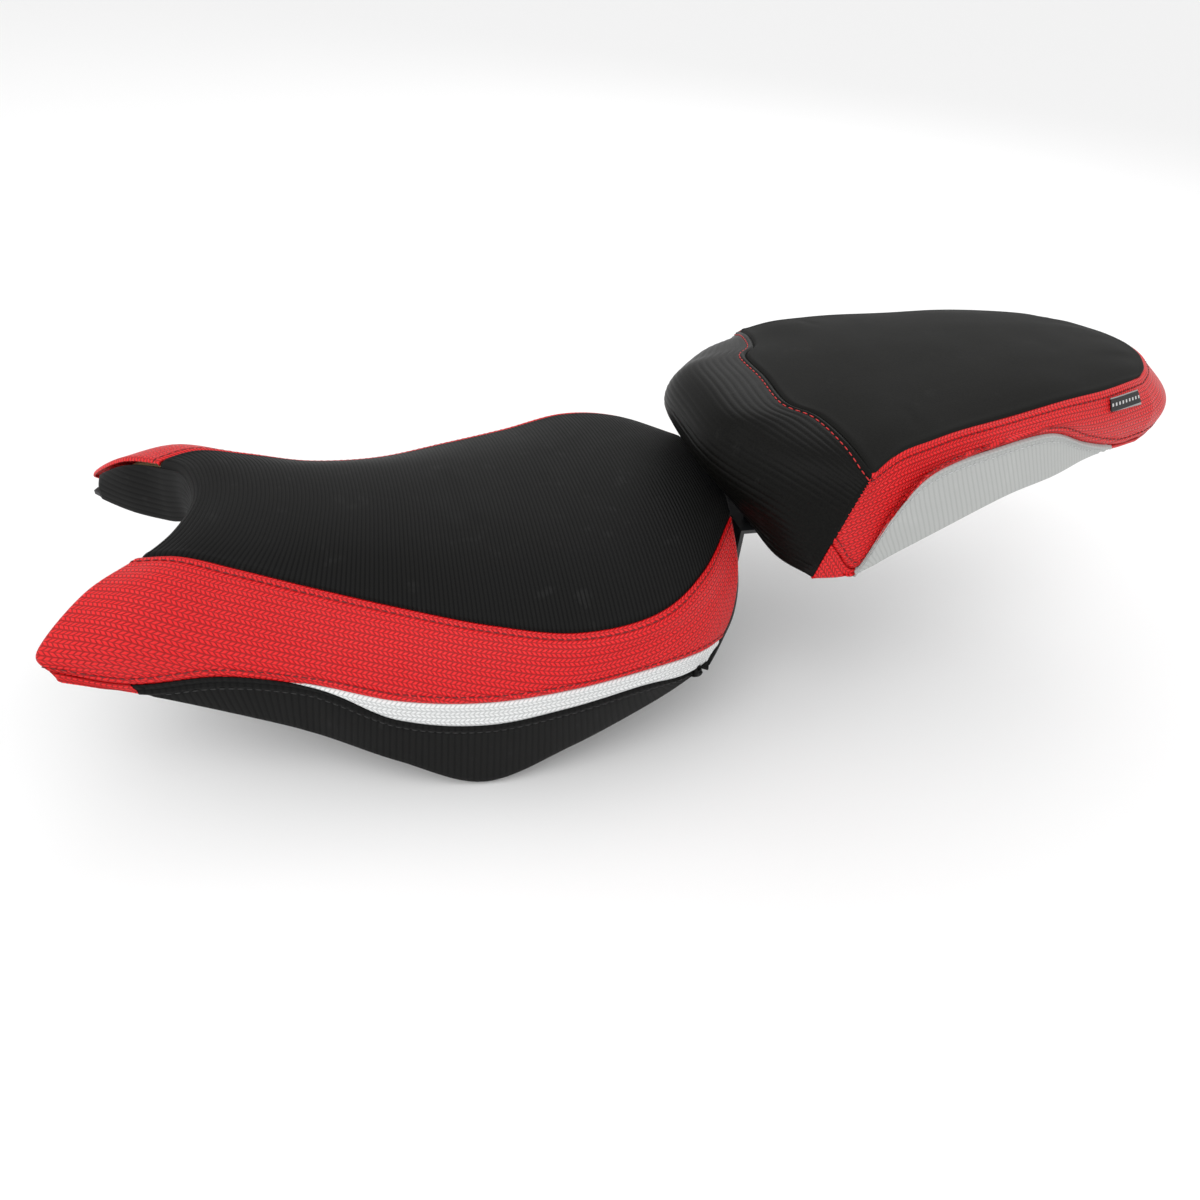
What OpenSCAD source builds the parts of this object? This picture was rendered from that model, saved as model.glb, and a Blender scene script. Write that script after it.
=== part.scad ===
// Two-piece sport motorcycle seat: a rider seat with two front horns that wrap
// the tank, and a raised pillion seat whose nose overlaps the rider seat's tail.
// +X points to the rear of the motorcycle, +Y to its right, +Z up.
// The origin lies midway between the two rear fixing collars of the rider seat,
// on their lower faces.

/* [Rider seat] */
// Length of the rider seat, horn tips to tail
rider_length = 445; // [370:1:535]
// Width of the rider seat at its widest
rider_width = 308; // [256:1:370]
// Height of the rider seat, top of the horns to the lowest point of the flanks
rider_height = 148; // [123:1:178]
// Depth of the rider foam along the centre line
rider_foam_depth = 48; // [40:1:58]

/* [Pillion seat] */
// Length of the pillion seat, nose to tail
pillion_length = 400; // [333:1:480]
// Width of the pillion seat at its widest
pillion_width = 248; // [206:1:298]
// Height of the pillion seat, lower front edge to top
pillion_height = 109; // [90:1:131]
// Depth of the tray under the pillion foam
pillion_tray = 12; // [10:0.5:15]

/* [Cover and shells] */
// Thickness of the cover with its backing
cover_t = 2.4; // [2:0.1:3]
// Wall of both moulded base pans
pan_wall = 3; // [2.5:0.1:3.6]
// Thickness of the ribs under the base pans
rib_t = 2.4; // [2:0.1:3]
// Depth of the ribs under the base pans
rib_depth = 9; // [7:0.5:11]

/* [Rider fixings] */
// Spacing of the two rear fixing collars
fixing_spacing = 56; // [46:1:68]
// Bore of the steel collars, for an M6 bolt
collar_bore = 6.6; // [5.5:0.1:8]
// Wall of the steel collars
collar_wall = 1.4; // [1.2:0.1:1.8]
// Height of the steel collars
collar_height = 9; // [7.5:0.1:11]
// Thickness of the steel brackets and plates
plate_t = 3; // [2.5:0.1:3.6]
// Width of the front tongue
tongue_width = 42; // [35:1:51]
// Diameter of the rubber buffers
buffer_d = 20; // [16:1:24]
// Height of the rubber buffers
buffer_height = 8; // [6.5:0.5:10]

/* [Pillion fixings] */
// Diameter of the striker rod that the seat lock grips
striker_d = 8; // [6.6:0.1:9.6]
// Spacing of the striker's two legs
striker_width = 34; // [28:1:41]
// Clear height inside the striker's loop
striker_reach = 20; // [16.5:0.5:24]
// Width of each rear prong
prong_width = 16; // [13:1:19]
// Spacing of the two rear prongs
prong_spacing = 56; // [46:1:67]

/* [Hidden] */
$fn = 48;

// Clearance between pieces that lie against each other
gap = 0.3;
// Sample steps along and across the curved surfaces
step_u = 0.5;
step_v = 0.5;

// ---- Curves and surfaces --------------------------------------------------

// Point k of a list, carried on in a straight line past either end
function carried(list, k) = let (last = len(list) - 1)
    k < 0 ? 2 * list[0] - list[1]
    : k > last ? 2 * list[last] - list[last - 1]
    : list[k];

// Smooth curve through every entry of a list, at place s counted in entries
function along(list, s) = let (
        i = max(0, min(floor(s), len(list) - 2)),
        t = s - i,
        a = carried(list, i - 1),
        b = list[i],
        c = list[i + 1],
        d = carried(list, i + 2))
    0.5 * (2 * b + (c - a) * t + (2 * a - 5 * b + 4 * c - d) * t * t
        + (3 * b - a - 3 * c + d) * t * t * t);

function unit(v) = v / norm(v);
function mix(a, b, t) = a + (b - a) * t;
function clamp(x, low, high) = max(low, min(high, x));
function flipped(p) = [p[0], -p[1], p[2]];

// A row given from the centre line outwards, completed with its mirror image
function both_sides(row) = concat([for (k = [len(row) - 1:-1:1]) flipped(row[k])], row);

// Two triangles for the quad between grid rows i, i+1 and columns k, k+1
function quad(a, b, c, d) = [[a, b, c], [a, c, d]];
function joined(lists) = [for (l = lists) each l];

// Closed solid between two grids of the same size, the first one outside
module slab(outer, inner) {
    rows = len(outer);
    cols = len(outer[0]);
    n = rows * cols;
    faces = joined([
        for (i = [0:rows - 2], k = [0:cols - 2]) let (a = i * cols + k)
            joined([quad(a, a + 1, a + cols + 1, a + cols),
                    quad(n + a, n + a + cols, n + a + cols + 1, n + a + 1)]),
        for (i = [0:rows - 2]) let (a = i * cols, b = a + cols - 1)
            joined([quad(a, a + cols, n + a + cols, n + a),
                    quad(b, n + b, n + b + cols, b + cols)]),
        for (k = [0:cols - 2]) let (a = k, b = n - cols + k)
            joined([quad(a, n + a, n + a + 1, a + 1),
                    quad(b, b + 1, n + b + 1, n + b)])]);
    polyhedron(points = concat(joined(outer), joined(inner)), faces = faces, convexity = 10);
}

// Upright rib of a given thickness and depth that hangs from a line of points
module rib(points, side) {
    top = [for (p = points) [p - side * rib_t / 2, p + side * rib_t / 2]];
    slab(top, [for (row = top) [for (p = row) p - [0, 0, rib_depth]]]);
}

// Dome-headed rivet whose head hangs below the origin
module rivet(head_d, shank_d, shank) {
    translate([0, 0, -1.6]) cylinder(d1 = head_d - 3, d2 = head_d, h = 1.6);
    cylinder(d = shank_d, h = shank);
}

// ---- Rider seat surface ---------------------------------------------------

// Lines along the seat, from the centre line outwards: centre line, mid top,
// top seam, horn shoulder, horn ridge, stripe's upper seam, stripe's lower
// seam, lower edge. One row for each station from the front edge to the tail,
// drawn with x = 0 at the front ends of the top seam.
RIDER_DRAWN = [
    [[27, 0, 6], [18, 36, 5], [0, 57, 0], [-28, 78, -8],
        [-54, 100, -30], [-48, 108, -40], [-46, 109, -43], [-45, 110, -45]],
    [[45, 0, 4], [40, 38, 5], [26, 64, 3], [8, 86, -4],
        [-12, 106, -27], [-8, 112, -53], [-6, 112, -57], [-5, 112, -60]],
    [[75, 0, 0], [70, 42, -1], [58, 70, -6], [48, 94, -20],
        [40, 110, -38], [42, 117, -50], [43, 117, -54], [48, 117, -82]],
    [[110, 0, -4], [106, 46, -6], [100, 78, -19], [94, 101, -33],
        [90, 116, -49], [92, 123, -59], [93, 123, -64], [90, 121, -102]],
    [[155, 0, -8], [153, 54, -11], [150, 94, -28], [146, 118, -43],
        [144, 131, -60], [142, 137, -68], [142, 138, -84], [140, 138, -120]],
    [[205, 0, -11], [204, 64, -15], [203, 116, -31], [199, 136, -46],
        [197, 146, -60], [195, 149, -67], [195, 150, -86], [195, 147, -142]],
    [[258, 0, -11], [257, 72, -14], [256, 133, -30], [253, 147, -44],
        [250, 153, -55], [248, 154, -60], [248, 154, -76], [252, 149, -117]],
    [[310, 0, -6], [309, 74, -8], [306, 135, -19], [304, 145, -35],
        [302, 150, -48], [300, 150, -54], [298, 150, -68], [306, 145, -90]],
    [[352, 0, -1], [350, 58, -1], [346, 108, -9], [344, 126, -29],
        [340, 138, -46], [338, 140, -54], [326, 142, -72], [338, 138, -75]],
    [[390, 0, 2], [389, 28, 1], [384, 56, -2], [380, 90, -20],
        [372, 112, -40], [360, 126, -56], [348, 134, -70], [344, 134, -73]]];
STATIONS = len(RIDER_DRAWN) - 1;
// Guide numbers of the seams
CENTRE = 7;
SEAM = 2;
RIDGE = 4;
STRIPE_TOP = 5;
STRIPE_LOW = 6;
EDGE = 7;
// Station where the stripes and the flanks start, behind the horn tips
FLANK_STATION = 1;
// Station behind which the lower edge turns in under the tail
TAIL_STATION = 7;

rider_scale = [rider_length / 445, rider_width / 308, rider_height / 148];
function sized(p) = [p[0] * rider_scale[0], p[1] * rider_scale[1], p[2] * rider_scale[2]];

// Foam depth under each guide: how far the pan lies inwards and down from the cover
FOAM_INWARD = [0, 0, 6, 10, 14, 14, 10, 7];
FOAM_DOWN = [1, 0.98, 0.92, 0.71, 0.4, 0.28, 0.2, 0];
// Share of that depth at the horns' front edge and one station behind it
HORN_FRONT = [0.88, 0.88, 0.95, 1, 0.5, 0.2, 0.2, 0.2];
HORN_BACK = [1, 1, 1, 1, 0.7, 0.4, 0.4, 0.4];
TAIL_SHARE = [1, 1, 1, 1, 1, 1, 0.2, 1];
function foam_share(i, g) = i == 0 ? HORN_FRONT[g] : i == 1 ? HORN_BACK[g]
    : i > TAIL_STATION ? TAIL_SHARE[g] : 1;
function foam_offset(i, g) = let (share = foam_share(i, g))
    [0, -FOAM_INWARD[g] * (1 + share) / 2, -FOAM_DOWN[g] * rider_foam_depth * share];

OUTER = [for (row = RIDER_DRAWN) both_sides([for (p = row) sized(p)])];
UNDER = [for (i = [0:STATIONS])
    both_sides([for (g = [0:EDGE]) sized(RIDER_DRAWN[i][g]) + foam_offset(i, g)])];

// Point of a net at station u and guide v, and its outward normal
function at(net, u, v) = along(along(net, u), v + CENTRE);
function normal(net, u, v) = let (e = step_v)
    unit(cross(at(net, u + e, v) - at(net, u - e, v), at(net, u, v + e) - at(net, u, v - e)));
function grid(net, us, vs, inset) = [for (u = us) [for (v = vs)
    at(net, u, v) - inset * normal(net, u, v)]];
function range(a, b, step) = [for (k = [0:round((b - a) / step)]) a + k * step];

// Direction from the foam into the pan under each guide: down at the middle,
// inwards at the lower edge
PAN_DRAWN = [[0, 0, -1], [0, -0.05, -1], [0, -0.1, -1], [0, -0.2, -0.98],
    [0, -0.35, -0.94], [0, -0.7, -0.7], [0, -0.95, -0.3], [0, -1, 0]];
PAN_WAY = both_sides(PAN_DRAWN);
// At the horns and at the tail the lower edge lies flat, and the pan goes more downwards there
function flat_share(u) = max(clamp(1 - u / 2, 0, 1), clamp(u - TAIL_STATION, 0, 1) / 2);
function into_pan(u, v) = unit(mix(along(PAN_WAY, v + CENTRE), [0, 0, -1], flat_share(u)));
function pan_grid(us, vs, depth) = [for (u = us) [for (v = vs)
    at(UNDER, u, v) + depth * into_pan(u, v)]];

module rider_skin(u0, u1, v0, v1) {
    us = range(u0, u1, step_u);
    vs = range(v0, v1, step_v);
    slab(grid(OUTER, us, vs, 0), grid(OUTER, us, vs, cover_t));
}

// Lower face of the rider pan at station u and guide v
function pan_low(u, v) = at(UNDER, u, v) + (gap + pan_wall) * into_pan(u, v);

tail_x = OUTER[STATIONS][CENTRE][0];

// Rear bracket: its foot under the pan, a riser behind the tail, and a shelf
foot_top = min(pan_low(7, 0)[2], pan_low(7, 1)[2]) - 1;
shelf_top = -28.5;
riser_x = tail_x + 12;
shelf_length = 34;
foot_x = tail_x - 75;
bracket_width = fixing_spacing + 28;
fixing_x = riser_x + plate_t + 15;
collar_d = collar_bore + 2 * collar_wall;
collar_low = shelf_top - plate_t / 2 - collar_height / 2;
origin = [fixing_x, 0, collar_low];
module placed() { translate(-origin) children(); }

// Front tongue: its foot under the pan and a lip that reaches forwards
tongue_top = min(pan_low(2.2, 0)[2], pan_low(3, 0)[2]) - 1;
tongue_back = 120;
tongue_front = 10;

// Buffers under the rider pan, one pair at each place, as station and guide
BUFFERS = [[3.1, 0.95], [5.75, 0.95], [7.6, 1.1]];
boss_depth = 4;
stem_d = 6;

// Staples through the rider hem, by station
STAPLES = range(2, 7, 0.5);
staple_length = 8;
staple_t = 0.7;
boss_trim = 5;
hem_inset = gap + pan_wall + 1.2;
hem_t = 1.2;
// Clearance between the hem and the staples' crowns, where the hem curves
staple_clear = 2;

// ---- Rider seat pieces ----------------------------------------------------

module at_buffers() {
    for (b = BUFFERS, side = [-1, 1]) {
        p = pan_low(b[0], side * b[1]);
        translate([p[0], p[1], p[2] - boss_depth]) children();
    }
}

module at_tongue_rivets() {
    for (x = [70, 102], y = [-11, 11]) translate([x, y, tongue_top]) children();
}

module at_bracket_rivets() {
    for (x = [foot_x + 12, foot_x + 38], y = [-1, 1])
        translate([x, y * bracket_width * 0.32, foot_top]) children();
}

module at_fixings() {
    for (side = [-1, 1])
        translate([fixing_x, side * fixing_spacing / 2, collar_low]) children();
}

// Moulded pad under the rider pan, flat at height z
module pad(u0, u1, v1, z) {
    us = range(u0, u1, (u1 - u0) / 3);
    vs = range(-v1, v1, v1 / 2);
    top = [for (u = us) [for (v = vs) pan_low(u, v) + [0, 0, 1]]];
    slab(top, [for (row = top) [for (p = row) [p[0], p[1], z]]]);
}

module rider_base_pan() {
    us = range(0, STATIONS, step_u);
    vs = range(-EDGE, EDGE, step_v);
    top_vs = range(-SEAM, SEAM, step_v);
    boss_top = boss_depth + pan_wall * 0.6;
    $fn = 24;
    color("#1b1c1e") placed() difference() {
        union() {
            slab(pan_grid(us, vs, gap), pan_grid(us, vs, gap + pan_wall));
            for (u = [4, 5, 6.5])
                rib([for (v = range(-2, 2, 0.5)) pan_low(u, v) + [0, 0, 1]], [-1, 0, 0]);
            for (side = [-1, 1])
                rib([for (u = range(4, 6.5, 0.5)) pan_low(u, side * 1.5) + [0, 0, 1]], [0, 1, 0]);
            difference() {
                at_buffers() cylinder(d = buffer_d, h = boss_top);
                slab(pan_grid(us, top_vs, gap - boss_trim), pan_grid(us, top_vs, 2 * gap));
            }
            pad(1.6, 3, 0.45, tongue_top);
            pad(7.1, 8.6, 0.6, foot_top);
        }
        at_buffers() translate([0, 0, -1]) cylinder(d = stem_d + 0.1, h = boss_depth + 1.5);
        at_tongue_rivets() translate([0, 0, -1]) cylinder(d = 5, h = 4.7);
        at_bracket_rivets() translate([0, 0, -1]) cylinder(d = 5, h = 4.7);
    }
}

module rider_foam() {
    us = range(0, STATIONS, step_u);
    vs = range(-EDGE, EDGE, step_v);
    color("#d8c98a") placed() slab(grid(OUTER, us, vs, cover_t + 2 * gap), pan_grid(us, vs, -gap));
}

module rider_top_panel() {
    color("#25272a") placed() rider_skin(0, STATIONS, -SEAM, SEAM);
}

// Direction out of the notch's wall and out of the tail, across the edge at guide v
function edge_way(u, v) = let (t = at(OUTER, u, v + 0.1) - at(OUTER, u, v - 0.1))
    unit([t[1], -t[0], 0]);

module rider_notch_panel() {
    function wall(v, w, lift) = mix(at(OUTER, 0, v), at(UNDER, 0, v) - [0, 0, pan_wall + 1], w)
        - (lift + 1 + 2.4 * w) * edge_way(0, v);
    vs = range(0.5 - RIDGE, RIDGE - 0.5, step_v);
    ws = [0, 0.5, 1];
    color("#17181a") placed()
        slab([for (v = vs) [for (w = ws) wall(v, w, gap + cover_t)]],
             [for (v = vs) [for (w = ws) wall(v, w, gap)]]);
}

module rider_side(side) {
    color("#c8161d") placed() {
        if (side < 0)
            rider_skin(0, STATIONS, -STRIPE_TOP, -SEAM);
        else
            rider_skin(0, STATIONS, SEAM, STRIPE_TOP);
    }
}

module rider_side_left() { rider_side(-1); }
module rider_side_right() { rider_side(1); }

module rider_tips() {
    color("#c8161d") placed() {
        rider_skin(0, FLANK_STATION, -EDGE, -STRIPE_TOP);
        rider_skin(0, FLANK_STATION, STRIPE_TOP, EDGE);
    }
}

module rider_stripe_left() {
    color("#e4e6e6") placed() rider_skin(FLANK_STATION, STATIONS, -STRIPE_LOW, -STRIPE_TOP);
}

module rider_stripe_right() {
    color("#e4e6e6") placed() rider_skin(FLANK_STATION, STATIONS, STRIPE_TOP, STRIPE_LOW);
}

module rider_flank_left() {
    color("#1d1f21") placed() rider_skin(FLANK_STATION, STATIONS, -EDGE, -STRIPE_LOW);
}

module rider_flank_right() {
    color("#1d1f21") placed() rider_skin(FLANK_STATION, STATIONS, STRIPE_LOW, EDGE);
}

module rider_rear_panel() {
    bulge = 5;
    function wall(v, w, lift) = mix(at(OUTER, STATIONS, v), at(UNDER, STATIONS, v) - [0, 0, 2], w)
        + (lift + bulge * 4 * w * (1 - w)) * edge_way(STATIONS, v);
    vs = range(-STRIPE_LOW, STRIPE_LOW, 0.5);
    ws = [0, 0.25, 0.5, 0.75, 1];
    color("#17181a") placed()
        slab([for (w = ws) [for (v = vs) wall(v, w, gap + cover_t)]],
             [for (w = ws) [for (v = vs) wall(v, w, gap)]]);
}

module rider_hem() {
    us = range(STAPLES[0] - 0.25, STAPLES[len(STAPLES) - 1] + 0.25, step_u / 2);
    color("#17181a") placed() for (start = [-EDGE, EDGE - step_v]) {
        vs = [start + 0.05, start + step_v - 0.05];
        slab(pan_grid(us, vs, hem_inset), pan_grid(us, vs, hem_inset + hem_t));
    }
}

module rider_staples() {
    color("#a9adb0") placed() for (u = STAPLES, side = [-1, 1]) {
        v = side * (EDGE - 0.25);
        n = -into_pan(u, v);
        p = at(UNDER, u, v) - (hem_inset + hem_t + staple_clear) * n;
        along_edge = at(UNDER, u + 0.1, v) - at(UNDER, u - 0.1, v);
        t = unit(along_edge - (along_edge * n) * n);
        b = cross(n, t);
        multmatrix([[t[0], b[0], n[0], p[0]], [t[1], b[1], n[1], p[1]], [t[2], b[2], n[2], p[2]]])
            translate([-staple_length / 2, -staple_t, 0]) cube([staple_length, 2 * staple_t, staple_t]);
    }
}

module rider_tongue() {
    lip = 8;
    profile = [[tongue_front, -lip], [tongue_front + 12, -lip], [58, -plate_t], [tongue_back, -plate_t],
        [tongue_back, 0], [56, 0], [tongue_front + 12, plate_t - lip], [tongue_front, plate_t - lip]];
    color("#2e3033") placed() difference() {
        translate([0, tongue_width / 2, tongue_top]) rotate([90, 0, 0])
            linear_extrude(tongue_width) polygon(profile);
        at_tongue_rivets() translate([0, 0, -plate_t - 1]) cylinder(d = 5, h = plate_t + 2);
    }
}

module rider_tongue_rivets() {
    color("#b9bcbf") placed() at_tongue_rivets() translate([0, 0, -plate_t]) rivet(9, 4.9, plate_t + 3.5);
}

module rider_bracket() {
    profile = [[foot_x, foot_top - plate_t], [riser_x + plate_t, foot_top - plate_t],
        [riser_x + plate_t, shelf_top - plate_t], [riser_x + shelf_length, shelf_top - plate_t],
        [riser_x + shelf_length, shelf_top], [riser_x, shelf_top], [riser_x, foot_top],
        [foot_x, foot_top]];
    color("#3a3d40") placed() difference() {
        translate([0, bracket_width / 2, 0]) rotate([90, 0, 0])
            linear_extrude(bracket_width) polygon(profile);
        at_bracket_rivets() translate([0, 0, -plate_t - 1]) cylinder(d = 5, h = plate_t + 2);
        for (side = [-1, 1]) translate([fixing_x, side * fixing_spacing / 2, shelf_top - plate_t - 1])
            cylinder(d = collar_d + 4, h = plate_t + 2);
    }
}

module rider_bracket_rivets() {
    color("#b9bcbf") placed() at_bracket_rivets() translate([0, 0, -plate_t]) rivet(9, 4.9, plate_t + 3.5);
}

module rider_grommets() {
    flange = (collar_height - plate_t - 1) / 2;
    color("#121314") placed() at_fixings() translate([0, 0, 0.5]) difference() {
        union() {
            cylinder(d = collar_d + 4 - 0.1, h = collar_height - 1);
            cylinder(d = collar_d + 10, h = flange - 0.05);
            translate([0, 0, flange + plate_t + 0.05]) cylinder(d = collar_d + 10, h = flange - 0.05);
        }
        translate([0, 0, -1]) cylinder(d = collar_d + 0.1, h = collar_height + 2);
    }
}

module rider_collars() {
    color("#c3c6c9") placed() at_fixings() difference() {
        cylinder(d = collar_d, h = collar_height);
        translate([0, 0, -1]) cylinder(d = collar_bore, h = collar_height + 2);
    }
}

module buffer() {
    translate([0, 0, -buffer_height]) cylinder(d = buffer_d - 1, h = buffer_height);
    cylinder(d = stem_d, h = boss_depth);
}

module rider_buffers() {
    color("#121314") placed() at_buffers() buffer();
}

// ---- Pillion seat surface -------------------------------------------------

// Guides across the seat from the centre line outwards, in rows from the nose's
// lower edge up to the seam, then from the seam back to the tail.
NOSE_DRAWN = [
    [[381, 0, 5], [383, 36, 5], [394, 62, -5], [402, 96, -12], [418, 124, -12]],
    [[358, 0, 36], [360, 38, 35], [370, 62, 31], [396, 96, 24], [426, 122, 12]],
    [[371, 0, 66], [373, 38, 64], [385, 60, 60], [408, 92, 54], [437, 119, 42]],
    [[418, 0, 74], [418, 38, 73], [433, 58, 72], [441, 88, 68], [446, 116, 60]]];
TOP_DRAWN = [
    [[418, 0, 74], [418, 38, 73], [433, 58, 72], [441, 88, 68], [446, 116, 60]],
    [[470, 0, 82], [470, 38, 81], [470, 56, 80], [468, 84, 77], [466, 108, 70]],
    [[492, 0, 86], [492, 36, 85], [492, 54, 84], [491, 81, 81], [490, 103, 75]],
    [[515, 0, 89], [515, 34, 88], [515, 51, 87], [515, 77, 84], [515, 98, 79]],
    [[558, 0, 93], [558, 31, 93], [558, 46, 92], [558, 70, 89], [557, 90, 83]],
    [[601, 0, 96], [601, 28, 96], [601, 42, 95], [601, 64, 93], [601, 82, 88]],
    [[640, 0, 97], [640, 25, 97], [640, 38, 96], [640, 57, 94], [640, 74, 90]],
    [[690, 0, 96], [688, 20, 96], [684, 32, 95], [678, 48, 94], [669, 64, 91]],
    [[722, 0, 91], [719, 16, 91], [713, 28, 91], [702, 43, 91], [688, 55, 90]]];
// Columns down the side, from the nose seam back to the tail: top seam, middle
// of the band, upper seam of the side panel, lower edge.
SIDE_DRAWN = [
    [[446, 116, 60], [437, 119, 42], [426, 122, 12], [418, 124, -12]],
    [[466, 108, 70], [463, 117, 46], [448, 124, -8], [448, 124, -12]],
    [[490, 103, 75], [484, 115, 56], [464, 123, 32], [478, 122, 2]],
    [[515, 98, 79], [508, 111, 65], [487, 118, 59], [508, 118, 14]],
    [[557, 90, 83], [552, 103, 74], [541, 107, 69], [560, 109, 32]],
    [[601, 82, 88], [598, 94, 77], [589, 97, 71], [604, 98, 38]],
    [[640, 74, 90], [640, 85, 72], [632, 86, 56], [640, 84, 41]],
    [[669, 64, 91], [674, 76, 70], [670, 76, 46], [668, 75, 42]],
    [[688, 55, 90], [700, 68, 69], [699, 68, 46], [696, 67, 42]]];
// The same columns round the tail, from its corner to the centre line
TAIL_DRAWN = [
    [[688, 55, 90], [700, 68, 69], [699, 68, 46], [696, 67, 42]],
    [[702, 43, 91], [722, 56, 67], [720, 56, 46], [716, 55, 42]],
    [[713, 28, 91], [741, 38, 65], [740, 38, 44], [734, 38, 40]],
    [[719, 16, 91], [752, 22, 63], [748, 22, 43], [742, 22, 38]],
    [[722, 0, 91], [757, 0, 62], [753, 0, 42], [746, 0, 38]]];
NOSE_ROWS = len(NOSE_DRAWN) - 1;
TOP_ROWS = len(TOP_DRAWN) - 1;
HALF = 4;
BAND_LOW = 2;
SKIRT = 3;
TURN = len(SIDE_DRAWN) - 1;
ROUND = TURN + 2 * HALF;
LOOP = ROUND + TURN;
// Places round the loop between which the side panel lies
PANEL_FRONT = 1;
PANEL_REAR = 7;

nose_x = 357;
front_z = -12;
pillion_start = nose_x + tail_x - 390;
function seated(p) = [pillion_start + (p[0] - nose_x) * pillion_length / 400,
    p[1] * pillion_width / 248,
    front_z + (p[2] - front_z) * pillion_height / 109];

NOSE = [for (row = NOSE_DRAWN) both_sides([for (p = row) seated(p)])];
TOP = [for (row = TOP_DRAWN) both_sides([for (p = row) seated(p)])];
LEFT = [for (column = SIDE_DRAWN) [for (p = column) flipped(seated(p))]];
RIGHT = [for (i = [TURN:-1:0]) [for (p = SIDE_DRAWN[i]) seated(p)]];
TAIL = concat([for (column = TAIL_DRAWN) [for (p = column) flipped(seated(p))]],
    [for (i = [HALF - 1:-1:0]) [for (p = TAIL_DRAWN[i]) seated(p)]]);

// Column of guides at place s round the loop: left side, tail, right side
function column(s) = s <= TURN ? along(LEFT, s)
    : s <= ROUND ? along(TAIL, s - TURN) : along(RIGHT, s - ROUND);

// Point of the seat's inner line nearest to p, which the cover is offset towards
function core(p) = let (
        x = clamp(p[0], pillion_start + 68, pillion_start + 325),
        y = clamp(75 - (x - pillion_start - 160) * 0.28, 25, 75))
    [x, clamp(p[1], -y, y), 25 + (x - pillion_start - 68) * 0.16];
function inner(p, d) = p - d * unit(p - core(p));
// The same, moved only sideways, for the shells along the lower edge
function edge_in(p, d) = let (away = p - core(p)) p - d * unit([away[0], away[1], 0]);
function inner_grid(points, d) = [for (row = points) [for (p = row) inner(p, d)]];

function nose_grid(vs) = [for (u = range(0, NOSE_ROWS, step_u)) [for (v = vs)
    along(along(NOSE, u), v + HALF)]];
function top_grid(vs) = [for (u = range(0, TOP_ROWS, step_u)) [for (v = vs)
    along(along(TOP, u), v + HALF)]];
function side_grid(t0, t1, s0, s1) = [for (t = range(t0, t1, step_u))
    [for (s = range(s0, s1, step_u)) along(column(s), t)]];

module pillion_skin(points) {
    slab(points, inner_grid(points, cover_t));
}

// Outline of the pan just inside the cover: across the nose, then in pairs
pan_inset = cover_t + 2.6;
function nose_edge(inset) = [for (v = range(-HALF, HALF, step_v))
    edge_in(along(NOSE[0], v + HALF), inset)];
function loop_edge(s, inset) = edge_in(along(column(s), SKIRT), inset);
function pan_rows(inset) = let (nose = nose_edge(inset)) concat(
    [[for (k = [0:2:len(nose) - 1]) nose[k]]],
    [for (s = range(0, TURN + 3.5, step_u)) let (a = loop_edge(s, inset), b = loop_edge(LOOP - s, inset))
        [for (k = [0:2 * HALF]) mix(a, b, k / (2 * HALF))]]);
// The same rows with their borders carried outwards, level, by d
function widened(rows, d) = let (last = len(rows) - 1, end = len(rows[0]) - 1)
    [for (i = [-1:last + 1]) [for (k = [0:end]) rows[clamp(i, 0, last)][k]
        + [i < 0 ? -d : i > last ? d : 0, k == 0 ? -d : k == end ? d : 0, 0]]];
function raised(points, h) = [for (row = points) [for (p = row) p + [0, 0, h]]];

// Height of the tray's lower face over place s at the share k of the width
function tray_low(s, k) = mix(loop_edge(s, pan_inset), loop_edge(LOOP - s, pan_inset), k)
    + [0, 0, pillion_tray - gap - pan_wall];

// Striker under the nose and prongs under the tail
striker_x = pillion_start + 86;
striker_top = tray_low(1, 0.5)[2] - 1;
striker_plate_l = 46;
striker_plate_w = striker_width + striker_d + 40;
prong_foot = pillion_start + 270;
prong_joggle = pillion_start + 325;
prong_tip = pillion_start + 363;
prong_top = min(tray_low(5, 0.5)[2], tray_low(6.5, 0.5)[2]) - 1;
prong_drop = 12;
prong_t = 4;

PILLION_BUFFERS = [[2.2, 0.2], [5.2, 0.16]];
pillion_buffer_d = 16;
pillion_boss = 4.5;
buffer_drop = pillion_tray - pillion_boss;

// ---- Pillion seat pieces --------------------------------------------------

module at_pillion_buffers() {
    for (b = PILLION_BUFFERS, k = [b[1], 1 - b[1]]) translate(tray_low(b[0], k) - [0, 0, pillion_boss])
        children();
}

module at_prong_rivets() {
    for (x = [10, 34], side = [-1, 1])
        translate([prong_foot + x, side * prong_spacing / 2, prong_top]) children();
}

module at_striker_nuts() {
    for (side = [-1, 1])
        translate([striker_x, side * (striker_plate_w / 2 - 10), striker_top]) children();
}

// Wall round the tray between two insets from the cover; trim shortens its ends
// at the two nose corners
module tray_wall(inset, thickness, low, high, trim = 0) {
    function row(points) = [for (p = points) [p + [0, 0, high], p + [0, 0, low]]];
    function nose(d) = [for (v = range(trim - HALF, HALF - trim, step_v))
        edge_in(along(NOSE[0], v + HALF), d)];
    function loop(d) = [for (s = range(LOOP - trim, trim, -step_u)) loop_edge(s, d)];
    slab(row(nose(inset)), row(nose(inset + thickness)));
    slab(row(loop(inset)), row(loop(inset + thickness)));
}

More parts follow.
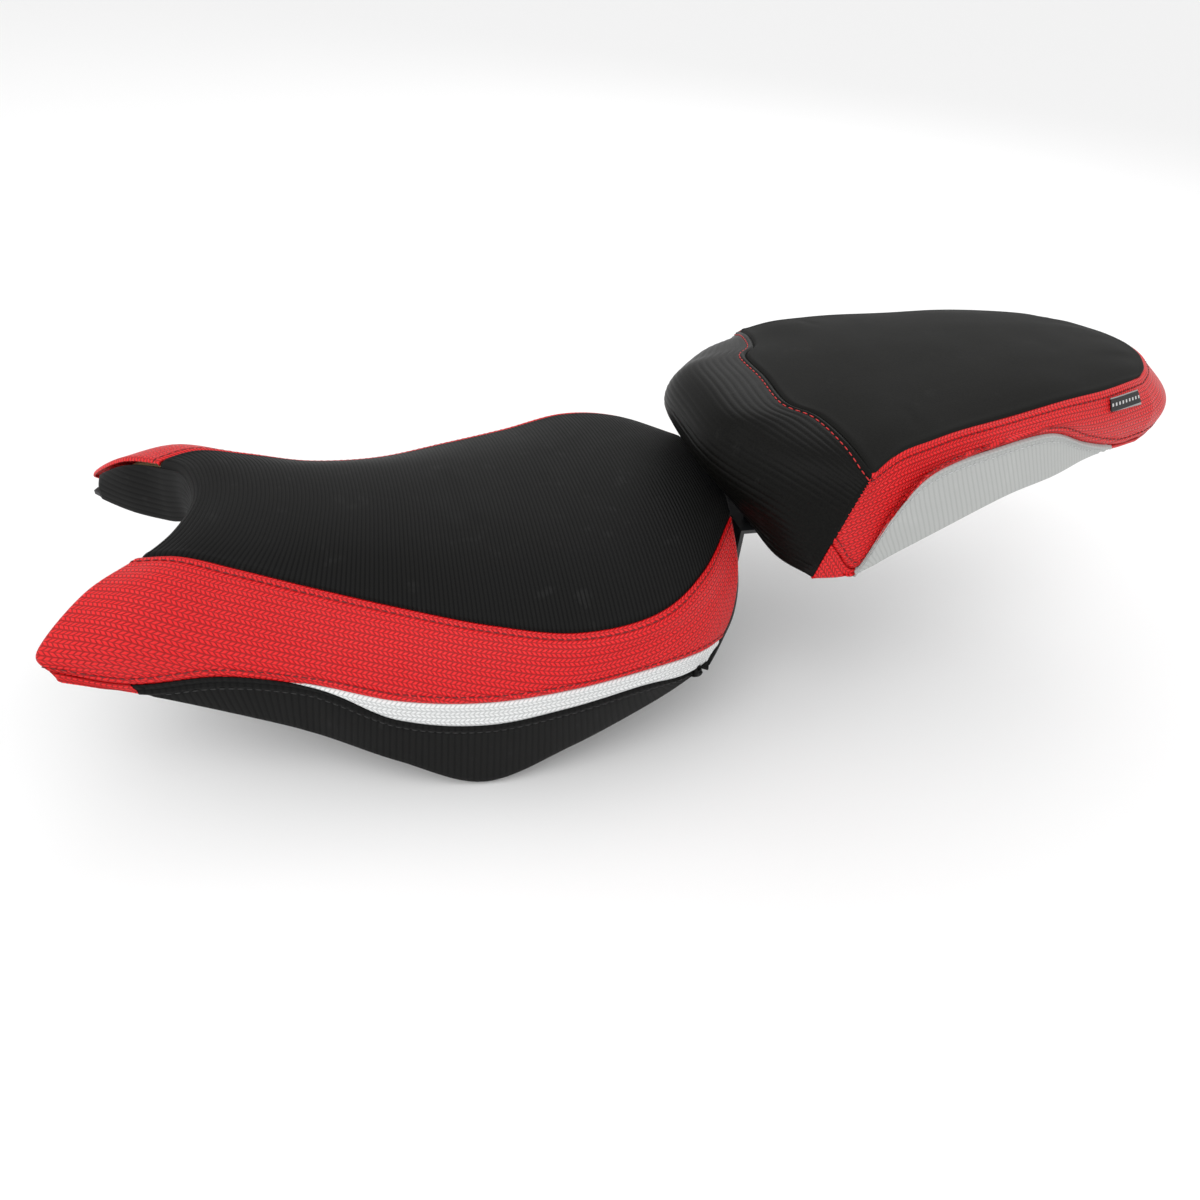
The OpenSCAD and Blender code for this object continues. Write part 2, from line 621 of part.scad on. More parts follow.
module pillion_base_pan() {
    rows = pan_rows(pan_inset);
    $fn = 24;
    color("#1b1c1e") placed() difference() {
        union() {
            slab(raised(rows, pillion_tray - gap), raised(rows, pillion_tray - gap - pan_wall));
            tray_wall(pan_inset + 0.2, pan_wall, 0, pillion_tray - gap - 0.6);
            for (s = [3, 4])
                rib([for (k = [0.1, 0.3, 0.5, 0.7, 0.9]) tray_low(s, k) + [0, 0, 1]], [-1, 0, 0]);
            for (k = [0.35, 0.65])
                rib([for (s = [2.5, 3, 3.5, 4, 4.5]) tray_low(s, k) + [0, 0, 1]], [0, 1, 0]);
            at_pillion_buffers() cylinder(d = pillion_buffer_d, h = pillion_boss + 0.3);
            translate([striker_x - striker_plate_l / 2, -striker_plate_w / 2, striker_top])
                cube([striker_plate_l, striker_plate_w, 3]);
            for (side = [-1, 1])
                translate([prong_foot - 4, side * prong_spacing / 2 - prong_width / 2, prong_top])
                    cube([56, prong_width, 4]);
        }
        at_pillion_buffers() translate([0, 0, -1]) cylinder(d = stem_d + 0.1, h = pillion_boss + 0.6);
        at_prong_rivets() translate([0, 0, -1]) cylinder(d = 5, h = 4);
        at_striker_nuts() translate([0, 0, -1]) cylinder(d = 6.2, h = 4);
    }
}

module pillion_foam() {
    inset = cover_t + 2 * gap;
    across = range(-HALF, HALF, step_v);
    nose = inner_grid(nose_grid(across), inset);
    top = inner_grid(top_grid(across), inset);
    side = inner_grid(side_grid(0, SKIRT, 0, LOOP), inset);
    // Closed shell: nose, top and side share their edge points; the underside
    // is ruled from left to right, and the tray is then cut away.
    sheets = [nose, top, side];
    starts = [0, len(nose) * len(nose[0]), len(nose) * len(nose[0]) + len(top) * len(top[0])];
    loop_n = len(side[0]);
    low = starts[2] + (len(side) - 1) * loop_n;
    half_loop = (loop_n - 1) / 2;
    faces = joined([
        for (g = [0:2], i = [0:len(sheets[g]) - 2], k = [0:len(sheets[g][0]) - 2])
            let (cols = len(sheets[g][0]), a = starts[g] + i * cols + k)
            quad(a, a + 1, a + cols + 1, a + cols),
        for (s = [0:half_loop - 2]) quad(low + s, low + s + 1, low + loop_n - 2 - s, low + loop_n - 1 - s),
        [[low + half_loop - 1, low + half_loop, low + half_loop + 1]],
        [for (k = [0:len(nose[0]) - 3]) [k + 1, k, len(nose[0]) - 1]]]);
    color("#d8c98a") placed() difference() {
        polyhedron(points = joined([joined(nose), joined(top), joined(side)]), faces = faces, convexity = 6);
        slab(raised(widened(pan_rows(pan_inset), 40), pillion_tray),
             raised(widened(pan_rows(pan_inset), 40), -60));
    }
}

module pillion_top_panel() {
    color("#2b2d30") placed() pillion_skin(top_grid(range(-HALF, HALF, step_v)));
}

module pillion_front_panel() {
    color("#1d1f21") placed() pillion_skin(nose_grid(range(-HALF, HALF, step_v)));
}

module pillion_band() {
    color("#c8161d") placed() pillion_skin(side_grid(0, BAND_LOW, 0, LOOP));
}

module pillion_nose_corners() {
    color("#c8161d") placed() {
        pillion_skin(side_grid(BAND_LOW, SKIRT, 0, PANEL_FRONT));
        pillion_skin(side_grid(BAND_LOW, SKIRT, LOOP - PANEL_FRONT, LOOP));
    }
}

module pillion_tail_panel() {
    color("#c8161d") placed()
        pillion_skin(side_grid(BAND_LOW, SKIRT, PANEL_REAR, LOOP - PANEL_REAR));
}

module pillion_side_left() {
    color("#e4e6e6") placed() pillion_skin(side_grid(BAND_LOW, SKIRT, PANEL_FRONT, PANEL_REAR));
}

module pillion_side_right() {
    color("#e4e6e6") placed()
        pillion_skin(side_grid(BAND_LOW, SKIRT, LOOP - PANEL_REAR, LOOP - PANEL_FRONT));
}

module pillion_label() {
    points = [for (t = [0.25, 0.5, 0.75]) [for (s = [6.1, 6.4, 6.7, 7, 7.3]) along(column(s), t)]];
    color("#101112") placed() slab(inner_grid(points, -1.2), inner_grid(points, -0.4));
}

module pillion_hem() {
    color("#17181a") placed() tray_wall(pan_inset + pan_wall + 0.3, 1.2, 0, pillion_tray - 7, 0.5);
}

module pillion_staples() {
    inset = pan_inset + pan_wall + 2.6;
    color("#a9adb0") placed() for (s = range(0.5, LOOP - 0.5, 1)) {
        p = loop_edge(s, inset) + [0, 0, 3];
        t = unit(loop_edge(s + 0.1, inset) - loop_edge(s - 0.1, inset));
        n = unit([t[1], -t[0], 0]);
        b = cross(n, t);
        multmatrix([[t[0], n[0], b[0], p[0]], [t[1], n[1], b[1], p[1]], [t[2], n[2], b[2], p[2]]])
            translate([-staple_length / 2, -staple_t, -staple_t / 2])
                cube([staple_length, staple_t, 1.5 * staple_t]);
    }
}

module pillion_striker() {
    bend = striker_d;
    leg = striker_width / 2;
    drop = striker_reach + striker_d / 2;
    color("#b9bcbf") placed() translate([striker_x, 0, striker_top - plate_t]) rotate([90, 0, 90]) {
        for (side = [-1, 1])
            translate([side * leg, bend - drop, 0]) rotate([-90, 0, 0])
                cylinder(d = striker_d, h = drop - bend);
        translate([leg - bend, bend - drop, 0]) rotate([0, 0, -90])
            rotate_extrude(angle = 90) translate([bend, 0]) circle(d = striker_d);
        translate([bend - leg, bend - drop, 0]) rotate([0, 0, 180])
            rotate_extrude(angle = 90) translate([bend, 0]) circle(d = striker_d);
        translate([bend - leg, -drop, 0]) rotate([0, 90, 0])
            cylinder(d = striker_d, h = 2 * (leg - bend));
    }
}

module pillion_striker_plate() {
    color("#3a3d40") placed() difference() {
        translate([striker_x - striker_plate_l / 2, -striker_plate_w / 2, striker_top - plate_t])
            cube([striker_plate_l, striker_plate_w, plate_t]);
        at_striker_nuts() translate([0, 0, -plate_t - 1]) cylinder(d = 6.2, h = plate_t + 2);
    }
}

module pillion_striker_nuts() {
    color("#b9bcbf") placed() at_striker_nuts() translate([0, 0, -plate_t]) {
        translate([0, 0, -5]) cylinder(d = 11.5, h = 5, $fn = 6);
        translate([0, 0, -1]) cylinder(d = 6, h = plate_t + 3);
    }
}

module pillion_prongs() {
    low = -prong_drop;
    profile = [[prong_foot - 2, -prong_t], [prong_foot + 48, -prong_t], [prong_joggle, low - prong_t],
        [prong_tip, low - prong_t], [prong_tip, low], [prong_joggle + 2, low], [prong_foot + 50, 0],
        [prong_foot - 2, 0]];
    color("#2e3033") placed() difference() {
        for (side = [-1, 1])
            translate([0, side * prong_spacing / 2 + prong_width / 2, prong_top]) rotate([90, 0, 0])
                linear_extrude(prong_width) polygon(profile);
        at_prong_rivets() translate([0, 0, -prong_t - 1]) cylinder(d = 5, h = prong_t + 2);
    }
}

module pillion_prong_rivets() {
    color("#b9bcbf") placed() at_prong_rivets() translate([0, 0, -prong_t]) rivet(9, 4.9, prong_t + 2.5);
}

module pillion_buffers() {
    color("#121314") placed() at_pillion_buffers() {
        translate([0, 0, -buffer_drop]) cylinder(d = pillion_buffer_d - 1, h = buffer_drop);
        cylinder(d = stem_d, h = pillion_boss - 0.6);
    }
}

rider_base_pan();
rider_foam();
rider_top_panel();
rider_notch_panel();
rider_side_left();
rider_side_right();
rider_tips();
rider_stripe_left();
rider_stripe_right();
rider_flank_left();
rider_flank_right();
rider_rear_panel();
rider_hem();
rider_staples();
rider_tongue();
rider_tongue_rivets();
rider_bracket();
rider_bracket_rivets();
rider_grommets();
rider_collars();
rider_buffers();
pillion_base_pan();
pillion_foam();
pillion_top_panel();
pillion_front_panel();
pillion_band();
pillion_nose_corners();
pillion_tail_panel();
pillion_side_left();
pillion_side_right();
pillion_label();
pillion_hem();
pillion_staples();
pillion_striker();
pillion_striker_plate();
pillion_striker_nuts();
pillion_prongs();
pillion_prong_rivets();
pillion_buffers();
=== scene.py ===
"""Looks of a two-piece sport motorcycle seat, built over the fixed frame.

All sizes are in millimetres until a mesh is made. The seat's own drawing frame
has x = 0 at the front ends of the rider seat's top seams; ORIGIN takes it to
the frame of the model.
"""

from __future__ import annotations

import logging
import math
from dataclasses import dataclass, field
from enum import Enum
from typing import Callable, Sequence

import bpy
import numpy as np
from mathutils import Matrix

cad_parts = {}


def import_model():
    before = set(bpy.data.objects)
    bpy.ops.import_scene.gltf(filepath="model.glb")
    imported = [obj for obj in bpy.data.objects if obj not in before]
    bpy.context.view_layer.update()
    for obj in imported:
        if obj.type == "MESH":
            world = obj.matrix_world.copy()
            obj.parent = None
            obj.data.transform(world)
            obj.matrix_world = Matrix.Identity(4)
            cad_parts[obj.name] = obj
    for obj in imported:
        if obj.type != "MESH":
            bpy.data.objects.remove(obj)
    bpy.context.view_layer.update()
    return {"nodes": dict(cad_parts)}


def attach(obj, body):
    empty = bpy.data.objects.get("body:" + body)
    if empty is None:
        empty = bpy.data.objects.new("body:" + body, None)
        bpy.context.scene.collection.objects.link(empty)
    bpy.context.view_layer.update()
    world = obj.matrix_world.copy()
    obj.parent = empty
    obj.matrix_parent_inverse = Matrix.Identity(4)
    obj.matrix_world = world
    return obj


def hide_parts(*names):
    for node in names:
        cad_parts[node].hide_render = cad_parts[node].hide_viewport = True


LOG = logging.getLogger("seat")
Grid = np.ndarray
ORIGIN = np.array([420.0, 0.0, -34.5])
PITCH_STITCH = 5.0
COVER_THICK = 1.3
# Size of the mesh cells in which a cover swells, and the cloth run that swells it
SWELL_CELL = 9.0
SWELL_FRAMES = 20
SWELL_PRESSURE = 4


# ---- Drawn surfaces -------------------------------------------------------

RIDER_DRAWN = [
    [(27, 0, 6), (18, 36, 5), (0, 57, 0), (-28, 78, -8),
     (-54, 100, -30), (-48, 108, -40), (-46, 109, -43), (-45, 110, -45)],
    [(45, 0, 4), (40, 38, 5), (26, 64, 3), (8, 86, -4),
     (-12, 106, -27), (-8, 112, -53), (-6, 112, -57), (-5, 112, -60)],
    [(75, 0, 0), (70, 42, -1), (58, 70, -6), (48, 94, -20),
     (40, 110, -38), (42, 117, -50), (43, 117, -54), (48, 117, -82)],
    [(110, 0, -4), (106, 46, -6), (100, 78, -19), (94, 101, -33),
     (90, 116, -49), (92, 123, -59), (93, 123, -64), (90, 121, -102)],
    [(155, 0, -8), (153, 54, -11), (150, 94, -28), (146, 118, -43),
     (144, 131, -60), (142, 137, -68), (142, 138, -84), (140, 138, -120)],
    [(205, 0, -11), (204, 64, -15), (203, 116, -31), (199, 136, -46),
     (197, 146, -60), (195, 149, -67), (195, 150, -86), (195, 147, -142)],
    [(258, 0, -11), (257, 72, -14), (256, 133, -30), (253, 147, -44),
     (250, 153, -55), (248, 154, -60), (248, 154, -76), (252, 149, -117)],
    [(310, 0, -6), (309, 74, -8), (306, 135, -19), (304, 145, -35),
     (302, 150, -48), (300, 150, -54), (298, 150, -68), (306, 145, -90)],
    [(352, 0, -1), (350, 58, -1), (346, 108, -9), (344, 126, -29),
     (340, 138, -46), (338, 140, -54), (326, 142, -72), (338, 138, -75)],
    [(390, 0, 2), (389, 28, 1), (384, 56, -2), (380, 90, -20),
     (372, 112, -40), (360, 126, -56), (348, 134, -70), (344, 134, -73)],
]
# Depth of the rider foam, and how far its lower face lies inwards and down at each guide
FOAM_DEPTH = 48.0
FOAM_IN = (0, 0, 6, 10, 14, 14, 10, 7)
FOAM_DOWN = (1, 0.98, 0.92, 0.71, 0.4, 0.28, 0.2, 0)
# Shares of that depth: behind this row, at the horns' front edge, and one row behind it
TAIL_ROW = 7
TAIL_SHARE = (1, 1, 1, 1, 1, 1, 0.2, 1)
HORN_FRONT = (0.88, 0.88, 0.95, 1, 0.5, 0.2, 0.2, 0.2)
HORN_BACK = (1, 1, 1, 1, 0.7, 0.4, 0.4, 0.4)
NOSE_DRAWN = [
    [(381, 0, 5), (383, 36, 5), (394, 62, -5), (402, 96, -12), (418, 124, -12)],
    [(358, 0, 36), (360, 38, 35), (370, 62, 31), (396, 96, 24), (426, 122, 12)],
    [(371, 0, 66), (373, 38, 64), (385, 60, 60), (408, 92, 54), (437, 119, 42)],
    [(418, 0, 74), (418, 38, 73), (433, 58, 72), (441, 88, 68), (446, 116, 60)],
]
TOP_DRAWN = [
    [(418, 0, 74), (418, 38, 73), (433, 58, 72), (441, 88, 68), (446, 116, 60)],
    [(470, 0, 82), (470, 38, 81), (470, 56, 80), (468, 84, 77), (466, 108, 70)],
    [(492, 0, 86), (492, 36, 85), (492, 54, 84), (491, 81, 81), (490, 103, 75)],
    [(515, 0, 89), (515, 34, 88), (515, 51, 87), (515, 77, 84), (515, 98, 79)],
    [(558, 0, 93), (558, 31, 93), (558, 46, 92), (558, 70, 89), (557, 90, 83)],
    [(601, 0, 96), (601, 28, 96), (601, 42, 95), (601, 64, 93), (601, 82, 88)],
    [(640, 0, 97), (640, 25, 97), (640, 38, 96), (640, 57, 94), (640, 74, 90)],
    [(690, 0, 96), (688, 20, 96), (684, 32, 95), (678, 48, 94), (669, 64, 91)],
    [(722, 0, 91), (719, 16, 91), (713, 28, 91), (702, 43, 91), (688, 55, 90)],
]
SIDE_DRAWN = [
    [(446, 116, 60), (437, 119, 42), (426, 122, 12), (418, 124, -12)],
    [(466, 108, 70), (463, 117, 46), (448, 124, -8), (448, 124, -12)],
    [(490, 103, 75), (484, 115, 56), (464, 123, 32), (478, 122, 2)],
    [(515, 98, 79), (508, 111, 65), (487, 118, 59), (508, 118, 14)],
    [(557, 90, 83), (552, 103, 74), (541, 107, 69), (560, 109, 32)],
    [(601, 82, 88), (598, 94, 77), (589, 97, 71), (604, 98, 38)],
    [(640, 74, 90), (640, 85, 72), (632, 86, 56), (640, 84, 41)],
    [(669, 64, 91), (674, 76, 70), (670, 76, 46), (668, 75, 42)],
    [(688, 55, 90), (700, 68, 69), (699, 68, 46), (696, 67, 42)],
]
TAIL_DRAWN = [
    [(688, 55, 90), (700, 68, 69), (699, 68, 46), (696, 67, 42)],
    [(702, 43, 91), (722, 56, 67), (720, 56, 46), (716, 55, 42)],
    [(713, 28, 91), (741, 38, 65), (740, 38, 44), (734, 38, 40)],
    [(719, 16, 91), (752, 22, 63), (748, 22, 43), (742, 22, 38)],
    [(722, 0, 91), (757, 0, 62), (753, 0, 42), (746, 0, 38)],
]
MIRROR = np.array([1.0, -1.0, 1.0])


def catmull(points: Grid, places: Grid) -> Grid:
    """Follow the smooth curve through the entries of an array.

    Args:
        points: entries along the first axis.
        places: where to read the curve, counted in entries.

    Returns:
        One entry for each place.
    """
    last = len(points) - 1
    longer = np.concatenate([2 * points[:1] - points[1:2], points, 2 * points[-1:] - points[-2:-1]])
    start = np.clip(np.floor(places).astype(int), 0, last - 1)
    t = (places - start).reshape((-1,) + (1,) * (points.ndim - 1))
    a, b, c, d = (longer[start + k] for k in range(4))
    return 0.5 * (2 * b + (c - a) * t + (2 * a - 5 * b + 4 * c - d) * t**2 + (3 * b - a - 3 * c + d) * t**3)


def both_sides(rows: Sequence[Sequence[tuple]]) -> Grid:
    """Complete rows that run from the centre line outwards with their mirror image."""
    half = np.array(rows, float)
    return np.concatenate([half[:, :0:-1] * MIRROR, half], axis=1)


class Net:
    """A smooth surface through rows of drawn points."""

    def __init__(self, points: Grid, centre: float = 0.0) -> None:
        """Keep the points, and the column that counts as v = 0."""
        self.points = points
        self.centre = centre

    def __call__(self, us: Grid, vs: Grid) -> Grid:
        """Read the surface at every pair of us and vs."""
        rows = catmull(self.points, np.asarray(us, float))
        return catmull(rows.transpose(1, 0, 2), np.asarray(vs, float) + self.centre).transpose(1, 0, 2)


def under_net() -> Grid:
    """Lower face of the rider foam, from the cover's rows and the foam's depth."""
    rows = []
    for i, row in enumerate(RIDER_DRAWN):
        whole = TAIL_SHARE if i > TAIL_ROW else (1,) * 8
        share = np.array(HORN_FRONT if i == 0 else HORN_BACK if i == 1 else whole, float)
        inward = -np.array(FOAM_IN, float) * (1 + share) / 2
        down = -np.array(FOAM_DOWN, float) * FOAM_DEPTH * share
        rows.append(np.array(row, float) + np.stack([0 * share, inward, down], 1))
    return both_sides(np.array(rows))


RIDER = Net(both_sides(RIDER_DRAWN), 7)
UNDER = Net(under_net(), 7)
NOSE = Net(both_sides(NOSE_DRAWN), 4)
TOP = Net(both_sides(TOP_DRAWN), 4)


# Stations between which the white stripe widens from a point to its full width
STRIPE_TAPER = (2.2, 3.8)


def stripe_part(us: Grid, vs: Grid, white: bool) -> Grid:
    """The strip between the rider seat's two lower seams, drawn straight across.

    Args:
        us: stations along the seat.
        vs: guides from 5 to 6, or from -6 to -5 on the left.
        white: the stripe itself, or the black root that fills the rest.

    Returns:
        The surface of that part.
    """
    side = 1.0 if float(np.max(vs)) > 0 else -1.0
    seams = RIDER(us, np.array([5.0, 6.0]) if side > 0 else np.array([-6.0, -5.0]))
    top, low = (seams[:, :1], seams[:, 1:]) if side > 0 else (seams[:, 1:], seams[:, :1])
    run = np.clip((np.asarray(us) - STRIPE_TAPER[0]) / (STRIPE_TAPER[1] - STRIPE_TAPER[0]), 0.0, 1.0)
    wide = (0.04 + 0.96 * run * run * (3 - 2 * run))[:, None, None]
    share = (np.abs(np.asarray(vs)) - 5.0)[None, :, None]
    share = share * wide if white else wide + share * (1 - wide)
    return top * (1 - share) + low * share


def stripe(us: Grid, vs: Grid) -> Grid:
    """The white stripe."""
    return stripe_part(us, vs, True)


def stripe_root(us: Grid, vs: Grid) -> Grid:
    """The black strip in front of the white stripe and under its point."""
    return stripe_part(us, vs, False)


class Loop:
    """The pillion seat's side: down t = 0 to 3, and round s = 0 to 24 from the left corner."""

    def __init__(self) -> None:
        """Lay out the left side, the tail and the right side."""
        side = np.array(SIDE_DRAWN, float)
        tail = np.array(TAIL_DRAWN, float)
        self.left = side * MIRROR
        self.right = side[::-1]
        self.tail = np.concatenate([tail * MIRROR, tail[-2::-1]])

    def columns(self, ss: Grid) -> Grid:
        """Columns of guides at each place round the loop."""
        ss = np.asarray(ss, float)
        out = np.empty((len(ss),) + self.left.shape[1:])
        for low, high, points in ((-1.0, 8.0, self.left), (8.0, 16.0, self.tail), (16.0, 25.0, self.right)):
            pick = (ss >= low) & (ss <= high)
            if pick.any():
                out[pick] = catmull(points, ss[pick] - max(low, 0.0))
        return out

    def __call__(self, ts: Grid, ss: Grid) -> Grid:
        """Read the side at every pair of ts and ss."""
        return catmull(self.columns(ss).transpose(1, 0, 2), np.asarray(ts, float))


LOOP = Loop()


# ---- Finishes -------------------------------------------------------------


class Pattern(Enum):
    """What is embossed in a cover."""

    SMOOTH = "smooth"
    RIBBED = "ribbed"
    CARBON = "carbon"
    FINE = "fine"


class Sketch:
    """A short way to draw a material's nodes."""

    def __init__(self, name: str) -> None:
        """Start a material with its shader and output."""
        self.material = bpy.data.materials.new(name)
        self.material.use_nodes = True
        self.tree = self.material.node_tree
        self.shader = self.tree.nodes["Principled BSDF"]

    def add(self, kind: str, **settings: object) -> bpy.types.Node:
        """Add a node and set its properties."""
        node = self.tree.nodes.new(kind)
        for key, value in settings.items():
            setattr(node, key, value)
        return node

    def put(self, socket: bpy.types.NodeSocket, value: object) -> None:
        """Link or set a socket."""
        if isinstance(value, bpy.types.NodeSocket):
            self.tree.links.new(value, socket)
        else:
            socket.default_value = value

    def math(self, operation: str, *values: object) -> bpy.types.NodeSocket:
        """One Math node."""
        node = self.add("ShaderNodeMath", operation=operation)
        for socket, value in zip(node.inputs, values):
            self.put(socket, value)
        return node.outputs[0]

    def smooth(self, value: object, low: float, high: float) -> bpy.types.NodeSocket:
        """Smooth step from low to high."""
        node = self.add("ShaderNodeMapRange", interpolation_type="SMOOTHSTEP")
        self.put(node.inputs["Value"], value)
        node.inputs["From Min"].default_value = low
        node.inputs["From Max"].default_value = high
        return node.outputs[0]

    def cover_map(self) -> tuple[bpy.types.NodeSocket, bpy.types.NodeSocket]:
        """Both directions of the piece's own UV map, in millimetres."""
        split = self.add("ShaderNodeSeparateXYZ")
        self.put(split.inputs[0], self.add("ShaderNodeUVMap", uv_map="cover").outputs[0])
        return split.outputs[0], split.outputs[1]

    def noise(self, scale: float, detail: float = 3.0, stretch: tuple = (1, 1, 1)) -> bpy.types.NodeSocket:
        """Noise on the object's own coordinates, in metres."""
        place = self.add("ShaderNodeTexCoord")
        turn = self.add("ShaderNodeMapping")
        turn.inputs["Scale"].default_value = stretch
        self.put(turn.inputs["Vector"], place.outputs["Object"])
        node = self.add("ShaderNodeTexNoise")
        node.inputs["Scale"].default_value = scale
        node.inputs["Detail"].default_value = detail
        self.put(node.inputs["Vector"], turn.outputs[0])
        return node.outputs[0]

    def blend(self, factor: object, a: object, b: object) -> bpy.types.NodeSocket:
        """Mix two colours."""
        node = self.add("ShaderNodeMix", data_type="RGBA")
        self.put(node.inputs["Factor"], factor)
        for key, value in (("A", a), ("B", b)):
            socket = next(s for s in node.inputs if s.name == key and s.type == "RGBA")
            self.put(socket, value if isinstance(value, bpy.types.NodeSocket) else (*value, 1.0))
        return next(s for s in node.outputs if s.type == "RGBA")

    def bump(
        self, height: object, distance: float, strength: float = 1.0, under: object = None
    ) -> bpy.types.NodeSocket:
        """Bump of a height in metres."""
        node = self.add("ShaderNodeBump")
        node.inputs["Distance"].default_value = distance
        node.inputs["Strength"].default_value = strength
        self.put(node.inputs["Height"], height)
        if under is not None:
            self.put(node.inputs["Normal"], under)
        return node.outputs[0]


@dataclass(frozen=True)
class Vinyl:
    """A cover vinyl with its embossing, and painted shade in the embossing's low parts."""

    name: str
    slot: str
    colour: tuple
    # painted shade: the colour that the vinyl darkens to where its embossing is low
    hollow_shade: tuple
    roughness: float
    pattern: Pattern
    pitch: float = 5.0
    depth: float = 0.25
    gloss: float = 0.25
    wear: float = 0.2
    sheen: float = 0.0

    def material(self) -> bpy.types.Material:
        """Draw the vinyl, with painted shade where its embossing is low.

        Returns:
            A material that reads the piece's own UV map, in millimetres.
        """
        s = Sketch(self.name)
        lengthways, crossways = s.cover_map()
        waver = s.math("MULTIPLY", s.math("SUBTRACT", s.noise(9.0), 0.5), 1.2)
        if self.pattern is Pattern.CARBON:
            height = self.carbon(s, lengthways, s.math("ADD", crossways, waver))
        elif self.pattern in (Pattern.RIBBED, Pattern.FINE):
            height = self.ribs(s, s.math("ADD", lengthways, waver))
        else:
            height = s.noise(900.0, 2.0)
        patchy = s.noise(22.0, 4.0)
        lighter = tuple(min(1.0, c * 1.25 + 0.004) for c in self.colour)
        tone = s.blend(s.math("MULTIPLY", patchy, 0.35), self.colour, lighter)
        scuffs = s.math("MULTIPLY", s.smooth(s.noise(55.0, 6.0), 0.6, 0.74), self.wear)
        worn = s.blend(scuffs, tone, tuple(min(1.0, c * 1.15 + 0.03) for c in self.colour))
        # Painted shade: the colour falls to the shade colour where the embossing is low, and on smooth vinyl
        # where its fine grain is low
        colour = s.blend(s.smooth(height, 0.15, 0.7), self.hollow_shade, worn)
        s.put(s.shader.inputs["Base Color"], colour)
        rough = s.math("ADD", s.math("MULTIPLY", patchy, 0.12), self.roughness - 0.06)
        s.put(s.shader.inputs["Roughness"], rough)
        s.shader.inputs["Specular IOR Level"].default_value = self.gloss
        if self.sheen:
            s.shader.inputs["Sheen Weight"].default_value = self.sheen
            s.shader.inputs["Sheen Roughness"].default_value = 0.5
        grain = s.bump(s.noise(1400.0, 2.0), 0.00005)
        s.put(s.shader.inputs["Normal"], s.bump(height, self.depth / 1000, 1.0, grain))
        return s.material

    def ribs(self, s: Sketch, along: bpy.types.NodeSocket) -> bpy.types.NodeSocket:
        """Fine parallel ribs across the seat."""
        phase = s.math("PINGPONG", along, self.pitch / 2)
        return s.smooth(phase, 0.0, self.pitch * 0.38)

    def carbon(
        self, s: Sketch, along: bpy.types.NodeSocket, across: bpy.types.NodeSocket
    ) -> bpy.types.NodeSocket:
        """Woven carbon look: pairs of rows of slanted lozenges between deeper lines."""
        fold = s.math("PINGPONG", across, self.pitch / 2)
        slant = s.math("ADD", along, s.math("MULTIPLY", fold, 0.9))
        lozenge = s.smooth(s.math("PINGPONG", slant, self.pitch * 0.27), 0.0, self.pitch * 0.17)
        row = s.smooth(s.math("PINGPONG", fold, self.pitch / 4), -0.25, self.pitch * 0.16)
        deep = s.smooth(fold, -0.15, self.pitch * 0.16)
        return s.math("MULTIPLY", s.math("MULTIPLY", lozenge, row), deep)


@dataclass(frozen=True)
class Hard:
    """A plastic, rubber or metal finish."""

    name: str
    colour: tuple
    roughness: float
    metal: float = 0.0
    grain: float = 600.0
    bump: float = 0.00006
    brushed: bool = False

    def material(self) -> bpy.types.Material:
        """Draw the finish on the object's own coordinates."""
        s = Sketch(self.name)
        patch = s.noise(35.0, 5.0)
        fine = s.noise(self.grain, 3.0, (1, 12, 1) if self.brushed else (1, 1, 1))
        darker = tuple(c * 0.72 for c in self.colour)
        s.put(s.shader.inputs["Base Color"], s.blend(patch, darker, self.colour))
        rough = s.math("ADD", s.math("MULTIPLY", fine, 0.2), self.roughness - 0.1)
        s.put(s.shader.inputs["Roughness"], rough)
        s.shader.inputs["Metallic"].default_value = self.metal
        s.put(s.shader.inputs["Normal"], s.bump(fine, self.bump))
        return s.material


@dataclass(frozen=True)
class Thread:
    """Twisted sewing thread."""

    name: str
    slot: str
    colour: tuple

    def material(self) -> bpy.types.Material:
        """Draw the thread with its twist, and painted shade where the twist is low."""
        s = Sketch(self.name)
        twist = s.noise(2600.0, 1.0)
        # Painted shade: the thread darkens to half its colour where the twist's bump is low
        dark = tuple(c * 0.5 for c in self.colour)
        s.put(s.shader.inputs["Base Color"], s.blend(s.smooth(twist, 0.3, 0.6), dark, self.colour))
        s.shader.inputs["Roughness"].default_value = 0.55
        s.put(s.shader.inputs["Normal"], s.bump(twist, 0.0001))
        return s.material


@dataclass(frozen=True)
class Foam:
    """Moulded foam with open cells."""

    name: str = "moulded_foam"
    slot: str = "foam"
    colour: tuple = (0.62, 0.52, 0.28)

    def material(self) -> bpy.types.Material:
        """Draw the foam, with painted shade in its pits."""
        s = Sketch(self.name)
        cells = s.noise(700.0, 4.0)
        # Painted shade: the foam darkens to 0.7 of its colour where the cells' bump is low
        s.put(s.shader.inputs["Base Color"], s.blend(cells, tuple(c * 0.7 for c in self.colour), self.colour))
        s.shader.inputs["Roughness"].default_value = 0.9
        s.put(s.shader.inputs["Normal"], s.bump(cells, 0.0003))
        return s.material


